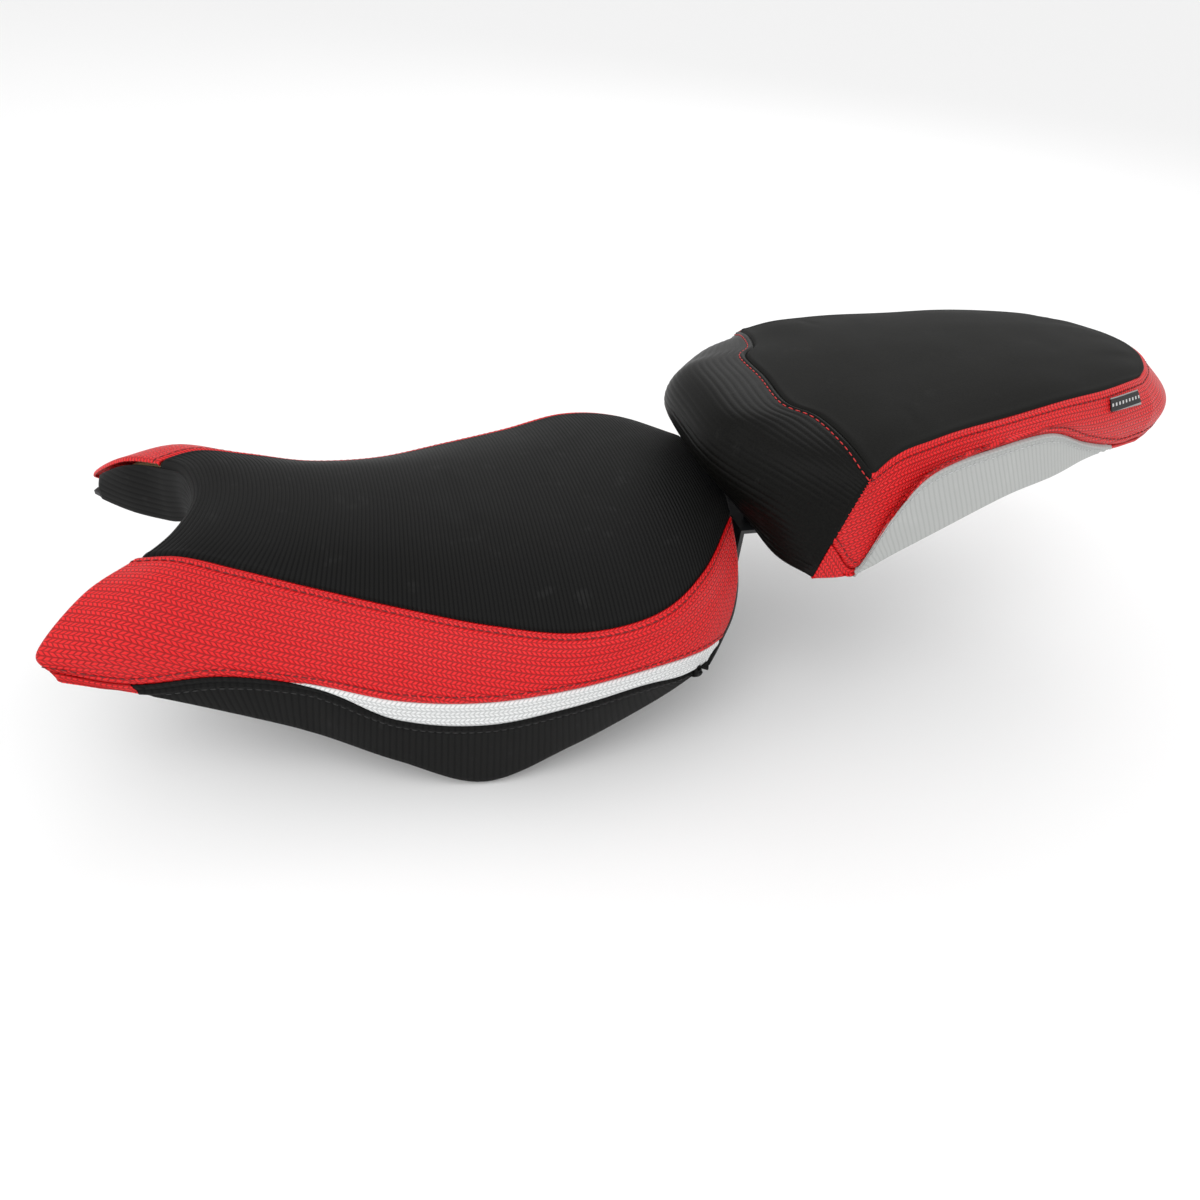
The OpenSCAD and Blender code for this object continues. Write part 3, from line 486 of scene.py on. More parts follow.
@dataclass(frozen=True)
class Tag:
    """Woven edge tag with plain borders."""

    name: str = "woven_tag"
    slot: str = "label_cloth"
    half_height: float = 5.2
    line_from: float = 4.4
    bar_half_pitch: float = 2.0
    bar_from: float = 1.15
    bar_half_height: float = 1.1

    def material(self) -> bpy.types.Material:
        """Draw the tag: dark ground, two pale border lines and a row of small bars."""
        s = Sketch(self.name)
        along, down = s.cover_map()
        folded = s.math("PINGPONG", s.math("ADD", down, self.half_height), self.half_height)
        border = s.math("GREATER_THAN", folded, self.line_from)
        bars = s.math("GREATER_THAN", s.math("PINGPONG", along, self.bar_half_pitch), self.bar_from)
        off_middle = s.math("ABSOLUTE", s.math("SUBTRACT", down, self.half_height))
        middle = s.math("LESS_THAN", off_middle, self.bar_half_height)
        pale = s.math("MAXIMUM", s.math("MULTIPLY", border, 0.55), s.math("MULTIPLY", bars, middle))
        threads = [s.smooth(s.math("PINGPONG", axis, 0.25), 0.0, 0.2) for axis in (along, down)]
        weave = s.math("MULTIPLY", *threads)
        s.put(s.shader.inputs["Base Color"], s.blend(pale, (0.008, 0.008, 0.009), (0.6, 0.6, 0.6)))
        s.shader.inputs["Roughness"].default_value = 0.6
        s.put(s.shader.inputs["Normal"], s.bump(weave, 0.0001))
        return s.material


# ---- Covers ---------------------------------------------------------------


class Weave(Enum):
    """Where a panel's pattern is measured from, or that it is turned a quarter."""

    LOW = "low"
    HIGH = "high"
    TURNED = "turned"


class Edge(Enum):
    """How a cover ends along a border."""

    PLAIN = "plain"
    SEAM = "seam"
    WELT = "welt"
    ROLL = "roll"
    HEM = "hem"


# Marks that sewing leaves along a border: height, distance from it and width
SEAM_MARKS = ((-1.15, 0.0, 1.5), (0.45, 3.0, 2.0))
WELT_MARKS = ((1.3, 1.9, 1.2), (-1.0, 0.0, 0.8), (-0.5, 4.0, 0.9))
# Depth and width of the groove that a row of topstitching pulls
STITCH_GROOVE = (0.4, 1.0)
# Width of the strip of cover that a hem turns in
HEM_STRIP = 6.0


def bell(distance: Grid, place: float, width: float) -> Grid:
    """A bump of height 1 at a distance from a border."""
    return np.exp(-(((distance - place) / width) ** 2))


@dataclass
class Border:
    """One border of a cover: its kind, its radius, and the rows of topstitching inside it."""

    kind: Edge = Edge.PLAIN
    radius: float = 5.0
    stitch: float = 0.0
    thread: str = ""

    def height(self, distance: Grid) -> Grid:
        """How far the cover stands up (or sinks) at a distance from this border.

        Args:
            distance: millimetres from the border.

        Returns:
            Height in millimetres along the surface's normal.
        """
        rise = np.zeros_like(distance)
        for height, place, width in {Edge.SEAM: SEAM_MARKS, Edge.WELT: WELT_MARKS}.get(self.kind, ()):
            rise += height * bell(distance, place, width)
        if self.kind is Edge.ROLL:
            inside = np.clip(self.radius - distance, 0.0, self.radius)
            rise -= self.radius - np.sqrt(np.maximum(self.radius**2 - inside**2, 0.0))
        if self.stitch:
            rise -= STITCH_GROOVE[0] * bell(distance, self.stitch, STITCH_GROOVE[1])
        return rise

    def samples(self, length: float) -> list[float]:
        """Distances from the border at which the mesh needs a line."""
        if self.kind is Edge.ROLL:
            near = [self.radius * (1 - math.cos(math.radians(a))) for a in (0, 12, 25, 38, 52, 68, 90)]
        elif self.kind is Edge.SEAM:
            near = [0, 0.5, 1.0, 1.6, 2.3, 3.1]
        elif self.kind is Edge.WELT:
            near = [0, 0.4, 0.8, 1.2, 1.6, 2.0, 2.4, 2.8, 3.3, 3.9, 4.4]
        else:
            near = [0]
        if self.stitch:
            near += [self.stitch + d for d in (-1.2, -0.6, 0, 0.6, 1.2)]
        return [d for d in near if d < length * 0.45]


def normals(grid: Grid) -> Grid:
    """Unit normals of a grid whose rows and columns turn right-handed outwards."""
    along = np.gradient(grid, axis=0)
    across = np.gradient(grid, axis=1)
    out = np.cross(along, across)
    return out / np.maximum(np.linalg.norm(out, axis=2, keepdims=True), 1e-9)


def run_lengths(grid: Grid, axis: int) -> Grid:
    """Length run along an axis of a grid from its first line."""
    steps = np.linalg.norm(np.diff(grid, axis=axis), axis=2)
    start = np.zeros_like(np.take(steps, [0], axis=axis))
    return np.concatenate([start, np.cumsum(steps, axis=axis)], axis=axis)


def lines(length: float, step: float, low: Border, high: Border) -> Grid:
    """Shares, 0 to 1, at which a cover gets its mesh lines."""
    places = {round(d, 3) for d in low.samples(length)}
    places |= {round(length - d, 3) for d in high.samples(length)}
    edges = sorted(places)
    out = [0.0]
    for a, b in zip(edges, edges[1:]):
        count = max(1, math.ceil((b - a) / step))
        out += [a + (b - a) * k / count for k in range(1, count + 1)]
    return np.array(out) / length


def make_mesh(
    name: str, points: Grid, faces: Sequence[Sequence[int]], uv: Grid | None = None
) -> bpy.types.Object:
    """Make an object from points in the drawing frame.

    Args:
        name: the piece's name.
        points: one row a point, in millimetres.
        faces: point numbers of each face.
        uv: one pair a point, in millimetres, for the map called cover.

    Returns:
        The object, linked to the scene, with smooth faces.
    """
    mesh = bpy.data.meshes.new(name)
    mesh.from_pydata(((np.asarray(points) - ORIGIN) / 1000).tolist(), [], [list(f) for f in faces])
    if uv is not None:
        layer = mesh.uv_layers.new(name="cover")
        index = np.empty(len(mesh.loops), dtype=np.int32)
        mesh.loops.foreach_get("vertex_index", index)
        layer.data.foreach_set("uv", np.asarray(uv, np.float32)[index].ravel())
    mesh.shade_smooth()
    mesh.update()
    piece = bpy.data.objects.new(name, mesh)
    bpy.context.scene.collection.objects.link(piece)
    return piece


def shell(name: str, outer: Grid, inner: Grid, uv: Grid) -> bpy.types.Object:
    """Closed piece between an outer and an inner grid of the same size."""
    rows, cols = outer.shape[:2]
    n = rows * cols
    index = np.arange(n).reshape(rows, cols)
    a, b, c, d = index[:-1, :-1], index[:-1, 1:], index[1:, 1:], index[1:, :-1]
    front = np.stack([a, d, c, b], -1).reshape(-1, 4)
    back = front[:, ::-1] + n
    rims = []
    for line in (index[0, :], index[:, -1], index[-1, ::-1], index[::-1, 0]):
        p, q = line[:-1], line[1:]
        rims.append(np.stack([p, q, q + n, p + n], -1))
    faces = np.concatenate([front, back, *rims])
    points = np.concatenate([outer.reshape(-1, 3), inner.reshape(-1, 3)])
    flat = uv.reshape(-1, 2)
    return make_mesh(name, points, faces, np.concatenate([flat, flat]))


def puffed(grid: Grid, cap: float) -> Grid:
    """Let a cover swell over its foam with its borders sewn down.

    Args:
        grid: the cover's surface, in millimetres.
        cap: the most that any point may move, in millimetres.

    Returns:
        How far each point moves.
    """
    if cap <= 0:
        return np.zeros_like(grid)
    rows, cols = grid.shape[:2]
    index = np.arange(rows * cols).reshape(rows, cols)
    faces = np.stack([index[:-1, :-1], index[1:, :-1], index[1:, 1:], index[:-1, 1:]], -1).reshape(-1, 4)
    piece = make_mesh("cover_in_work", grid.reshape(-1, 3), faces)
    group = piece.vertex_groups.new(name="sewn")
    rim = np.unique(np.concatenate([index[0], index[-1], index[:, 0], index[:, -1]]))
    group.add([int(k) for k in rim], 1.0, "REPLACE")
    cloth = piece.modifiers.new("swell", "CLOTH")
    cloth.settings.quality = 5
    cloth.settings.use_pressure = True
    cloth.settings.uniform_pressure_force = SWELL_PRESSURE
    cloth.settings.vertex_group_mass = "sewn"
    cloth.settings.effector_weights.gravity = 0
    cloth.point_cache.frame_start, cloth.point_cache.frame_end = 1, SWELL_FRAMES
    scene = bpy.context.scene
    for frame_number in range(1, SWELL_FRAMES + 1):
        scene.frame_set(frame_number)
    seen = piece.evaluated_get(bpy.context.evaluated_depsgraph_get())
    flat = np.empty(rows * cols * 3, dtype=np.float32)
    seen.data.vertices.foreach_get("co", flat)
    moved = flat.reshape(rows, cols, 3) * 1000.0 + ORIGIN - grid
    scene.frame_set(1)
    mesh = piece.data
    bpy.data.objects.remove(piece)
    bpy.data.meshes.remove(mesh)
    most = float(np.linalg.norm(moved, axis=2).max())
    return moved * min(1.0, cap / most) if most > 0 else moved


@dataclass
class Cover:
    """A sewn cover panel: where it lies, how it ends, and what it stands for."""

    name: str
    body: str
    finish: str
    surface: Callable[[Grid, Grid], Grid]
    u: tuple[float, float]
    v: tuple[float, float]
    front: Border = field(default_factory=Border)
    back: Border = field(default_factory=Border)
    low: Border = field(default_factory=Border)
    high: Border = field(default_factory=Border)
    stands_for: tuple[str, ...] = ()
    swell: float = 1.5
    step: tuple[float, float] = (2.2, 2.2)
    thick: float = COVER_THICK
    weave: Weave = Weave.LOW
    relief: Callable[[Grid, Grid], Grid] | None = None
    stitches: list[tuple[str, Grid, Grid]] = field(default_factory=list)
    grid: Grid | None = None

    def build(self) -> bpy.types.Object:
        """Shape the panel and keep its surface for the stitches.

        Returns:
            The closed panel.
        """
        rough = self.surface(np.linspace(*self.u, 30), np.linspace(*self.v, 30))
        long_u = float(run_lengths(rough, 0)[-1].mean())
        long_v = float(run_lengths(rough, 1)[:, -1].mean())
        cells_u, cells_v = (int(np.clip(length / SWELL_CELL, 6, 80)) for length in (long_u, long_v))
        coarse = self.surface(np.linspace(*self.u, cells_u + 1), np.linspace(*self.v, cells_v + 1))
        share_u = lines(long_u, self.step[0], self.front, self.back)
        share_v = lines(long_v, self.step[1], self.low, self.high)
        us = self.u[0] + share_u * (self.u[1] - self.u[0])
        vs = self.v[0] + share_v * (self.v[1] - self.v[0])
        base = self.surface(us, vs)
        out = normals(base)
        run_u, run_v = run_lengths(base, 0), run_lengths(base, 1)
        left_u, left_v = run_u[-1:] - run_u, run_v[:, -1:] - run_v
        rise = np.zeros(base.shape[:2])
        for border, distance in (
            (self.front, run_u), (self.back, left_u), (self.low, run_v), (self.high, left_v)
        ):
            rise += border.height(distance)
        if self.relief is not None:
            rise += self.relief(run_u, run_v)
        swelling = puffed(coarse, self.swell)
        swelling = catmull(swelling, share_u * cells_u)
        swelling = catmull(swelling.transpose(1, 0, 2), share_v * cells_v).transpose(1, 0, 2)
        grid = base + out * rise[..., None] + swelling
        if self.weave is Weave.TURNED:
            uv = np.stack([np.broadcast_to(run_v.mean(axis=0, keepdims=True), run_u.shape), run_u], -1)
        else:
            lengthways = np.broadcast_to(run_u.mean(axis=1, keepdims=True), run_v.shape)
            uv = np.stack([lengthways, run_v if self.weave is Weave.LOW else left_v], -1)
        self.grid = grid
        self.sew(grid, run_u, left_u, run_v, left_v)
        grid, uv = self.turn_hems(grid, uv)
        return shell(self.name, grid, grid - self.thick * normals(grid), uv)

    def turn_hems(self, grid: Grid, uv: Grid) -> tuple[Grid, Grid]:
        """Turn the cover in along each border that is a hem."""
        for border, axis, end in (
            (self.low, 1, 0), (self.high, 1, -1), (self.front, 0, 0), (self.back, 0, -1)
        ):
            if border.kind is not Edge.HEM:
                continue
            g = np.moveaxis(grid, axis, 0)
            t = np.moveaxis(uv, axis, 0)
            out = np.moveaxis(normals(grid), axis, 0)[end]
            edge, inside = g[end], g[1 if end == 0 else -2]
            way = edge - inside
            way /= np.maximum(np.linalg.norm(way, axis=1, keepdims=True), 1e-9)
            turns = [math.radians(a) for a in (30, 60, 90, 120, 150, 180)]
            r = border.radius
            extra = [edge + r * ((math.cos(a) - 1) * out + math.sin(a) * way) for a in turns]
            extra.append(extra[-1] - HEM_STRIP * way)
            marks = [t[end] + (t[end] - t[1 if end == 0 else -2]) * 0.5 * k for k in range(1, len(extra) + 1)]
            if end == 0:
                g = np.concatenate([np.array(extra)[::-1], g])
                t = np.concatenate([np.array(marks)[::-1], t])
            else:
                g = np.concatenate([g, np.array(extra)])
                t = np.concatenate([t, np.array(marks)])
            grid, uv = np.moveaxis(g, 0, axis), np.moveaxis(t, 0, axis)
        return grid, uv

    def sew(self, grid: Grid, run_u: Grid, left_u: Grid, run_v: Grid, left_v: Grid) -> None:
        """Find the path of each row of topstitching on the finished surface."""
        out = normals(grid)
        for border, distance, axis in (
            (self.front, run_u, 0), (self.back, left_u, 0), (self.low, run_v, 1), (self.high, left_v, 1)
        ):
            if not border.stitch:
                continue
            g, n, d = (np.moveaxis(x, axis, 1) for x in (grid, out, distance[..., None]))
            path, up = [], []
            for row, rise, far in zip(g, n, d[..., 0]):
                order = np.argsort(far)
                if far.max() < border.stitch * 1.6:
                    continue
                path.append([np.interp(border.stitch, far[order], row[order, k]) for k in range(3)])
                up.append([np.interp(border.stitch, far[order], rise[order, k]) for k in range(3)])
            if len(path) > 3:
                self.stitches.append((border.thread, np.array(path), np.array(up)))


# ---- Repeated pieces ------------------------------------------------------


class StitchMaker:
    """Lays stitches on points with Geometry Nodes and turns them into one plain mesh."""

    length = 3.9
    width = 0.95
    end_gap = 3.0
    reach = 0.8
    lift = 0.16

    def tree(self) -> bpy.types.GeometryNodeTree:
        """Build the node group: a thread grain on every point, turned by its attribute."""
        group = bpy.data.node_groups.new("stitch_row", "GeometryNodeTree")
        face = group.interface
        face.new_socket("Geometry", in_out="INPUT", socket_type="NodeSocketGeometry")
        face.new_socket("Length", in_out="INPUT", socket_type="NodeSocketFloat")
        face.new_socket("Width", in_out="INPUT", socket_type="NodeSocketFloat")
        face.new_socket("Thread", in_out="INPUT", socket_type="NodeSocketMaterial")
        face.new_socket("Geometry", in_out="OUTPUT", socket_type="NodeSocketGeometry")
        nodes, link = group.nodes, group.links.new
        source, sink = nodes.new("NodeGroupInput"), nodes.new("NodeGroupOutput")
        points = nodes.new("GeometryNodeMeshToPoints")
        grain = nodes.new("GeometryNodeMeshUVSphere")
        grain.inputs["Segments"].default_value = 8
        grain.inputs["Rings"].default_value = 6
        grain.inputs["Radius"].default_value = 0.5
        size = nodes.new("ShaderNodeCombineXYZ")
        shape = nodes.new("GeometryNodeTransform")
        turn = nodes.new("GeometryNodeInputNamedAttribute")
        turn.data_type = "QUATERNION"
        turn.inputs["Name"].default_value = "turn"
        place = nodes.new("GeometryNodeInstanceOnPoints")
        real = nodes.new("GeometryNodeRealizeInstances")
        dress = nodes.new("GeometryNodeSetMaterial")
        link(source.outputs["Geometry"], points.inputs["Mesh"])
        link(source.outputs["Length"], size.inputs["X"])
        link(source.outputs["Width"], size.inputs["Y"])
        link(source.outputs["Width"], size.inputs["Z"])
        link(grain.outputs["Mesh"], shape.inputs["Geometry"])
        link(size.outputs[0], shape.inputs["Scale"])
        link(points.outputs[0], place.inputs["Points"])
        link(shape.outputs[0], place.inputs["Instance"])
        link(next(o for o in turn.outputs if o.type == "ROTATION"), place.inputs["Rotation"])
        link(place.outputs[0], real.inputs[0])
        link(real.outputs[0], dress.inputs["Geometry"])
        link(source.outputs["Thread"], dress.inputs["Material"])
        link(dress.outputs[0], sink.inputs["Geometry"])
        return group

    def read(self, data: Grid, run: Grid, places: Grid) -> Grid:
        """Read points or normals at places along a path."""
        return np.stack([np.interp(places, run, data[:, k]) for k in range(3)], 1)

    def row(self, path: Grid, up: Grid) -> tuple[Grid, Grid]:
        """Space the stitches evenly along one path.

        Args:
            path: points of the path, in millimetres.
            up: the surface's normal at each point.

        Returns:
            Stitch centres, and their turns as quaternions.
        """
        run = np.concatenate([[0.0], np.cumsum(np.linalg.norm(np.diff(path, axis=0), axis=1))])
        count = max(2, int((run[-1] - 2 * self.end_gap) / PITCH_STITCH))
        at = np.linspace(self.end_gap, run[-1] - self.end_gap, count)
        centre, normal = self.read(path, run, at), self.read(up, run, at)
        ahead = self.read(path, run, at + self.reach) - self.read(path, run, at - self.reach)
        turns = []
        for a, n in zip(ahead, normal):
            x = a / np.linalg.norm(a)
            z = n - x * float(n @ x)
            z /= np.linalg.norm(z)
            turns.append(Matrix(np.stack([x, np.cross(z, x), z], 1).tolist()).to_quaternion())
        return centre + normal * self.lift, np.array([[q.w, q.x, q.y, q.z] for q in turns])

    def build(
        self, name: str, paths: Sequence[tuple[Grid, Grid]], thread: bpy.types.Material
    ) -> bpy.types.Object:
        """Sew several paths with one thread.

        Args:
            name: the piece's name.
            paths: pairs of path points and normals.
            thread: the thread's material.

        Returns:
            One plain mesh with every stitch.
        """
        rows = [self.row(p, n) for p, n in paths]
        centres = np.concatenate([c for c, _ in rows])
        turns = np.concatenate([t for _, t in rows])
        base = make_mesh(name + "_points", centres, [])
        mark = base.data.attributes.new("turn", "QUATERNION", "POINT")
        mark.data.foreach_set("value", turns.astype(np.float32).ravel())
        group = self.tree()
        sewing = base.modifiers.new("sewing", "NODES")
        sewing.node_group = group
        values = {"Length": self.length / 1000, "Width": self.width / 1000, "Thread": thread}
        for item in group.interface.items_tree:
            if item.in_out == "INPUT" and item.name in values:
                sewing[item.identifier] = values[item.name]
        base.update_tag()
        graph = bpy.context.evaluated_depsgraph_get()
        mesh = bpy.data.meshes.new_from_object(base.evaluated_get(graph), depsgraph=graph)
        mesh.name = name
        mesh.shade_smooth()
        bpy.data.objects.remove(base)
        piece = bpy.data.objects.new(name, mesh)
        bpy.context.scene.collection.objects.link(piece)
        if not mesh.materials:
            mesh.materials.append(thread)
        return piece


# ---- The seat -------------------------------------------------------------

# The second colour of each vinyl is painted shade for the low parts of its embossing
FINISHES: dict[str, Vinyl | Hard | Thread | Foam | Tag] = {
    "grip_black": Vinyl("grip_black", "black_vinyl", (0.0048, 0.0048, 0.0045), (0.001, 0.001, 0.001), 0.62,
                        Pattern.RIBBED, 2.8, 0.32, 0.12),
    "plain_black": Vinyl("plain_black", "black_vinyl", (0.004, 0.004, 0.0038), (0.0015, 0.0015, 0.0015), 0.5,
                         Pattern.FINE, 4.2, 0.15, 0.12),
    "nose_black": Vinyl("nose_black", "black_vinyl", (0.0035, 0.0034, 0.0028), (0.001, 0.001, 0.001), 0.42,
                        Pattern.SMOOTH, 4.6, 0.05, 0.10),
    "charcoal": Vinyl("charcoal", "charcoal_vinyl", (0.0085, 0.0085, 0.0078), (0.007, 0.007, 0.0065), 0.68,
                      Pattern.SMOOTH, 3.0, 0.08, 0.10, 0.1),
    "red_carbon": Vinyl("red_carbon", "red_carbon_vinyl", (0.76, 0.010, 0.013), (0.36, 0.001, 0.002), 0.42,
                        Pattern.CARBON, 5.6, 0.4, 0.3),
    "white_carbon": Vinyl("white_carbon", "white_vinyl", (0.78, 0.79, 0.79), (0.55, 0.56, 0.56), 0.4,
                          Pattern.CARBON, 5.6, 0.28, 0.3),
    "white_ribbed": Vinyl("white_ribbed", "white_vinyl", (0.42, 0.43, 0.42), (0.39, 0.40, 0.39), 0.42,
                          Pattern.FINE, 3.8, 0.07, 0.25),
    "thread_red": Thread("thread_red", "red_carbon_vinyl", (0.16, 0.003, 0.004)),
    "thread_bright": Thread("thread_bright", "red_carbon_vinyl", (0.6, 0.02, 0.02)),
    "thread_black": Thread("thread_black", "black_vinyl", (0.012, 0.012, 0.012)),
    "thread_white": Thread("thread_white", "white_vinyl", (0.62, 0.63, 0.63)),
    "foam": Foam(),
    "tag": Tag(),
    "pan_plastic": Hard("pan_plastic", (0.022, 0.023, 0.025), 0.55),
    "powder_black": Hard("powder_black", (0.03, 0.031, 0.033), 0.45, grain=900.0),
    "zinc": Hard("zinc", (0.6, 0.61, 0.62), 0.34, metal=1.0, brushed=True),
    "wire": Hard("wire", (0.62, 0.62, 0.64), 0.3, metal=1.0),
    "rubber": Hard("rubber", (0.016, 0.016, 0.016), 0.7, grain=400.0),
}
CAD_DRESS = {
    "pan_plastic": ("rider_base_pan", "pillion_base_pan"),
    "powder_black": ("rider_tongue", "rider_bracket", "pillion_striker_plate", "pillion_prongs"),
    "zinc": ("rider_tongue_rivets", "rider_bracket_rivets", "rider_collars",
             "pillion_striker", "pillion_striker_nuts", "pillion_prong_rivets"),
    "wire": ("rider_staples", "pillion_staples"),
    "rubber": ("rider_grommets", "rider_buffers", "pillion_buffers"),
    "plain_black": ("rider_hem", "pillion_hem"),
}


class Wardrobe:
    """Makes each finish once and hands it out."""

    def __init__(self) -> None:
        """Start with no materials made."""
        self.made: dict[str, bpy.types.Material] = {}

    def get(self, name: str) -> bpy.types.Material:
        """The material of a finish."""
        if name not in self.made:
            self.made[name] = FINISHES[name].material()
        return self.made[name]

    def dress(self, piece: bpy.types.Object, name: str) -> None:
        """Give a piece one finish."""
        piece.data.materials.clear()
        piece.data.materials.append(self.get(name))


@dataclass
class Seat:
    """What the two seats share: covers sewn over foam, and their thread."""

    wardrobe: Wardrobe
    body: str = ""
    covers: list[Cover] = field(default_factory=list)

    def finish_piece(
        self, piece: bpy.types.Object, finish: str, stands_for: Sequence[str] = (),
        fill: float | None = None,
    ) -> None:
        """Dress a piece, hang it on its body, and hide the solids that it replaces.

        Args:
            piece: the finished mesh.
            finish: the finish's name.
            stands_for: the solids that it replaces.
            fill: how tight it is, for a padded piece; not used.
        """
        self.wardrobe.dress(piece, finish)
        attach(piece, self.body)
        if stands_for:
            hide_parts(*stands_for)
        LOG.info("%s: %d faces", piece.name, len(piece.data.polygons))

    def upholster(self) -> None:
        """Build every cover, then its stitches."""
        threads: dict[str, list[tuple[Grid, Grid]]] = {}
        for cover in self.covers:
            piece = cover.build()
            self.finish_piece(piece, cover.finish, cover.stands_for, 0.9)
            for thread, path, up in cover.stitches:
                threads.setdefault(thread, []).append((path, up))
        for thread, paths in threads.items():
            name = f"{self.body}_{thread}"
            piece = StitchMaker().build(name, paths, self.wardrobe.get(thread))
            self.finish_piece(piece, thread)


def seam(thread: str = "", stitch: float = 0.0) -> Border:
    """A sewn border, with a row of topstitching where a thread is named."""
    return Border(Edge.SEAM, 0.0, stitch, thread)


def roll(radius: float = 6.0) -> Border:
    """A border that rolls over a rim of the foam."""
    return Border(Edge.ROLL, radius)


def hem(radius: float = 1.8) -> Border:
    """A border that is turned in under the edge of the pan."""
    return Border(Edge.HEM, radius)


def span_on(side: int, inner: float, outer: float) -> tuple[float, float]:
    """The guides of a panel on one side, from low to high."""
    return (inner, outer) if side > 0 else (-outer, -inner)


@dataclass
class RiderSeat(Seat):
    """The front seat: black top, red sides, white stripes and black flanks."""

    body: str = "rider_seat"
    foam_inset: float = 5.0
    rim_reach: float = 9.0
    stitch: float = 5.0

    def build(self) -> None:
        """Lay out the covers, sew them and add the foam and walls."""
        self.covers.append(Cover(
            "rider_top_cover", self.body, "grip_black", RIDER, (0, 9), (-2, 2),
            roll(), roll(5.0), seam(), seam(), ("rider_top_panel",), 1.6, (2.0, 2.6)))
        red, black = seam("thread_red", self.stitch), seam("thread_black", self.stitch)
        for side, word in ((-1, "left"), (1, "right")):
            inner = Weave.LOW if side > 0 else Weave.HIGH
            for name, finish, surface, u, v, edges, nodes, swell in (
                ("side", "red_carbon", RIDER, (0, 9), (2, 5),
                 (roll(3.0), roll(4.0), red, red), (f"rider_side_{word}",), 1.2),
                ("stripe", "white_carbon", stripe, (STRIPE_TAPER[0], 9), (5, 6),
                 (Border(), roll(4.0), seam(), seam()), (f"rider_stripe_{word}",), 0.5),
                ("stripe_root", "plain_black", stripe_root, (1, STRIPE_TAPER[1] - 0.02), (5, 6),
                 (Border(), Border(), Border(), Border()), (), 0.0),
                ("flank", "plain_black", RIDER, (1, 9), (6, 7),
                 (Border(), roll(3.0), black, hem()), (f"rider_flank_{word}",), 1.0),
            ):
                front, back, near, far = edges
                low, high = (near, far) if side > 0 else (far, near)
                self.covers.append(Cover(
                    f"rider_{name}_{word}", self.body, finish, surface, u, span_on(side, *v),
                    front, back, low, high, nodes, swell, weave=inner))
            low, high = (Border(), hem(1.5)) if side > 0 else (hem(1.5), Border())
            self.covers.append(Cover(
                f"rider_tip_{word}", self.body, "red_carbon", RIDER, (0, 1), span_on(side, 5, 7),
                roll(2.0), Border(), low, high, ("rider_tips",) if side > 0 else (), 0.0, weave=inner))
        self.upholster()
        self.foam()
        self.notch_wall()
        self.rear_wall()

    def foam(self) -> None:
        """The foam block between the cover and the pan."""
        us = np.linspace(0.15, 8.85, 120)
        low = np.linspace(6.0, 6.8, 6)
        vs = np.concatenate([-low[::-1], np.linspace(-5, 5, 130), low])
        top = RIDER(us, vs)
        run = run_lengths(top, 0)
        near_rim = bell(run, 0.0, self.rim_reach) + bell(run[-1:] - run, 0.0, self.rim_reach)
        inset = self.foam_inset * (1 + near_rim[..., None])
        uv = np.zeros(top.shape[:2] + (2,))
        piece = shell("rider_foam_block", top - inset * normals(top), UNDER(us, vs), uv)
        self.finish_piece(piece, "foam", ("rider_foam",), 1.0)

    def wall(self, name: str, u: float, v: float, drop: float, sign: float, bulge: float, node: str) -> None:
        """A wall of cover from a rolled rim down to the pan.

        Args:
            name: the piece's name.
            u: the rim's station.
            v: the guide where the wall ends on either side.
            drop: the rim's roll radius.
            sign: -1 where the wall faces forwards, 1 where it faces back.
            bulge: how far the wall stands out at its middle.
            node: the solid that it replaces.
        """
        vs = np.linspace(-v, v, 150)
        near = np.array([0.0, 0.02]) if u == 0 else np.array([u - 0.02, u])
        rim = RIDER(near, vs)
        out = normals(rim)[0 if u == 0 else 1]
        start = rim[0 if u == 0 else 1] - drop * out
        end = UNDER(np.array([u]), vs)[0] - np.array([0, 0, 4.0])
        tangent = np.gradient(start, axis=0)
        level = np.stack([tangent[:, 1], -tangent[:, 0], 0 * tangent[:, 0]], 1) * sign
        level /= np.maximum(np.linalg.norm(level, axis=1, keepdims=True), 1e-9)
        ws = np.linspace(0, 1, 26)[:, None, None]
        grid = start * (1 - ws) + end * ws + level * (bulge * 4 * ws * (1 - ws) + 0.2)
        if sign < 0:
            grid = grid[::-1]
        run_u, run_v = run_lengths(grid, 0), run_lengths(grid, 1)
        uv = np.stack([run_u, run_v], -1)
        piece = shell(name, grid, grid - COVER_THICK * normals(grid), uv)
        self.finish_piece(piece, "plain_black", (node,), 0.9)

    def notch_wall(self) -> None:
        """The wall round the tank notch."""
        self.wall("rider_notch_wall", 0, 3.7, 5.6, -1.0, 2.0, "rider_notch_panel")

    def rear_wall(self) -> None:
        """The wall under the pillion seat's nose."""
        self.wall("rider_rear_wall", 9, 5.9, 4.4, 1.0, 5.0, "rider_rear_panel")


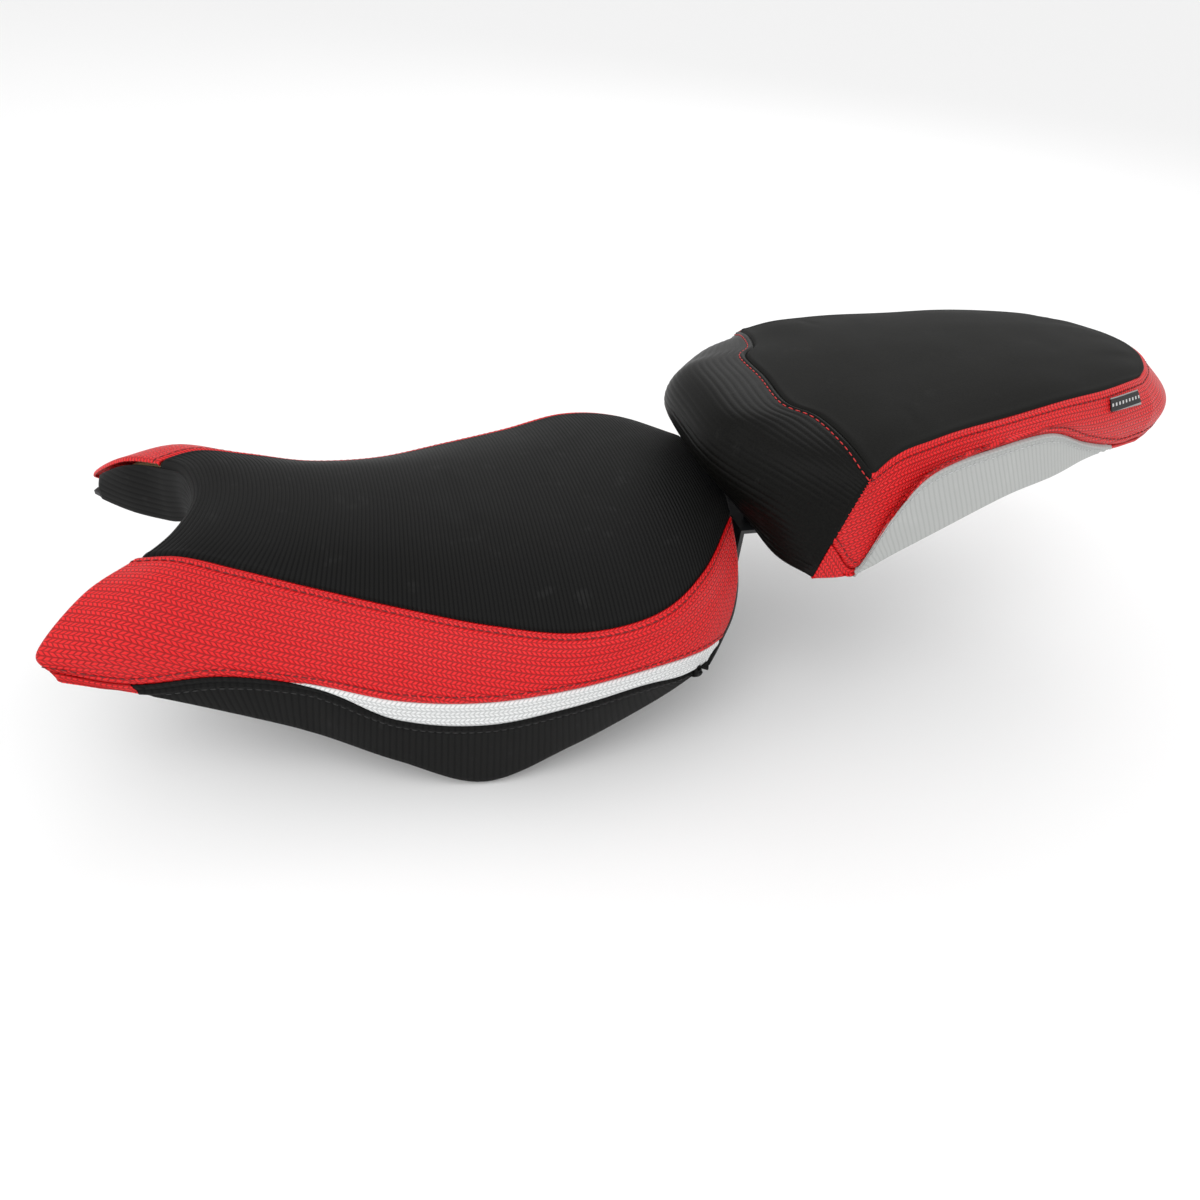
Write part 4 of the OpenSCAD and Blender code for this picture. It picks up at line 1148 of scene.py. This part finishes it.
@dataclass
class PillionSeat(Seat):
    """The raised rear seat: charcoal top, ribbed nose, red band and white side panels."""

    body: str = "pillion_seat"
    rib_pitch: float = 4.6
    rib_rise: float = 0.45
    stitch: float = 5.5
    tray: float = 12.5

    def ribs(self, run_u: Grid, run_v: Grid) -> Grid:
        """Height of the nose's moulded ribs."""
        phase = np.mod(run_u.mean(axis=1, keepdims=True) + 0 * run_v, self.rib_pitch) / self.rib_pitch
        return self.rib_rise * np.sqrt(np.maximum(1 - (2 * phase - 1) ** 2, 0.0)) - self.rib_rise / 2

    def build(self) -> None:
        """Lay out the covers, sew them and add the foam and the tag."""
        add = self.covers.append
        fine = (1.6, 2.4)
        red = seam("thread_red", self.stitch)
        add(Cover("pillion_top_cover", self.body, "charcoal", TOP, (0, 8), (-4, 4),
                  seam(), seam(), seam(), seam(), ("pillion_top_panel",), 1.5, (2.4, 2.4)))
        add(Cover("pillion_nose_cover", self.body, "nose_black", NOSE, (0, 3), (-4, 4),
                  hem(), seam("thread_bright", 5.0), seam(), seam(), ("pillion_front_panel",),
                  0.8, (0.75, 3.0), relief=self.ribs))
        add(Cover("pillion_band_cover", self.body, "red_carbon", LOOP, (0, 2), (0, 24),
                  red, red, seam(), seam(), ("pillion_band",), 0.8, fine, weave=Weave.TURNED))
        for side, word, span, tip in ((-1, "left", (1, 7), (0, 1)), (1, "right", (17, 23), (23, 24))):
            add(Cover(f"pillion_side_{word}_cover", self.body, "white_ribbed", LOOP, (2, 3), span,
                      Border(Edge.WELT, 0.0, 6.5, "thread_white"), hem(), seam(), seam(),
                      (f"pillion_side_{word}",), 0.8, fine, weave=Weave.TURNED))
            add(Cover(f"pillion_corner_{word}", self.body, "red_carbon", LOOP, (2, 3), tip,
                      Border(), hem(), Border(), Border(),
                      ("pillion_nose_corners",) if side > 0 else (), 0.0, weave=Weave.TURNED))
        add(Cover("pillion_tail_cover", self.body, "red_carbon", LOOP, (2, 3), (7, 17),
                  Border(), hem(), Border(), Border(), ("pillion_tail_panel",),
                  0.0, weave=Weave.TURNED))
        self.upholster()
        self.foam()
        self.tag()

    def foam(self) -> None:
        """The foam block under the top cover."""
        us, vs = np.linspace(0, 8, 70), np.linspace(-4, 4, 60)
        top = TOP(us, vs)
        upper = top - 3.0 * normals(top)
        upper[:, :, 1] *= 0.97
        rim = LOOP(np.array([3.0]), np.linspace(0, 11.5, 90))[0]
        lower = upper.copy()
        floor = np.interp(upper[:, :, 0], rim[:, 0], rim[:, 2]) + self.tray
        lower[:, :, 2] = np.minimum(floor, upper[:, :, 2] - 4.0)
        piece = shell("pillion_foam_block", upper, lower, np.zeros(top.shape[:2] + (2,)))
        self.finish_piece(piece, "foam", ("pillion_foam",), 1.0)

    def tag(self) -> None:
        """The small woven tag sewn on the left of the tail."""
        grid = LOOP(np.linspace(0.3, 0.72, 16), np.linspace(6.15, 7.3, 40))
        out = normals(grid)
        grid = grid + 1.5 * out
        uv = np.stack([run_lengths(grid, 1), run_lengths(grid, 0)], -1)
        piece = shell("pillion_tag", grid, grid - 0.7 * out, uv)
        self.finish_piece(piece, "tag", ("pillion_label",))


@dataclass
class Studio:
    """Floor, lights and camera."""

    floor: float = -0.112
    sky: float = 0.95
    lens: float = 27.0
    camera_at: tuple = (-0.2909, -0.5431, 0.3690)
    camera_turn: tuple = (51.66, -4.834, -14.822)

    def build(self) -> None:
        """Set the stage round the seat."""
        mesh = bpy.data.meshes.new("floor")
        w, z = 12.0, self.floor
        mesh.from_pydata([(-w, -w, z), (w, -w, z), (w, w, z), (-w, w, z)], [], [(0, 1, 2, 3)])
        floor = bpy.data.objects.new("floor", mesh)
        bpy.context.scene.collection.objects.link(floor)
        s = Sketch("pale_floor")
        s.shader.inputs["Base Color"].default_value = (0.93, 0.93, 0.93, 1)
        s.shader.inputs["Roughness"].default_value = 0.9
        mesh.materials.append(s.material)
        world = bpy.data.worlds.new("studio")
        bpy.context.scene.world = world
        world.use_nodes = True
        world.node_tree.nodes["Background"].inputs["Color"].default_value = (1, 1, 1, 1)
        world.node_tree.nodes["Background"].inputs["Strength"].default_value = self.sky
        bpy.context.scene.view_settings.view_transform = "Standard"
        for name, place, turn, size, power in (
            ("key", (-0.9, -1.2, 1.9), (38, 0, -37), 1.6, 13.0),
            ("rim", (0.9, 1.5, 1.6), (-48, 0, -30), 1.4, 8.0),
            ("fill", (-1.8, 0.4, 0.9), (65, 0, -100), 1.6, 3.0),
        ):
            data = bpy.data.lights.new(name, "AREA")
            data.energy, data.size = power, size
            lamp = bpy.data.objects.new(name, data)
            lamp.location = place
            lamp.rotation_euler = [math.radians(a) for a in turn]
            bpy.context.scene.collection.objects.link(lamp)
        data = bpy.data.cameras.new("camera")
        data.lens, data.sensor_width = self.lens, 36.0
        camera = bpy.data.objects.new("camera", data)
        camera.location = self.camera_at
        camera.rotation_euler = [math.radians(a) for a in self.camera_turn]
        bpy.context.scene.collection.objects.link(camera)
        bpy.context.scene.camera = camera


def main() -> None:
    """Build the seat over its frame."""
    logging.basicConfig(level=logging.INFO, format="%(name)s %(message)s")
    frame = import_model()
    wardrobe = Wardrobe()
    Studio().build()
    RiderSeat(wardrobe).build()
    PillionSeat(wardrobe).build()
    for finish, nodes in CAD_DRESS.items():
        for node in nodes:
            wardrobe.dress(frame["nodes"][node], finish)


if __name__ == "__main__":
    main()
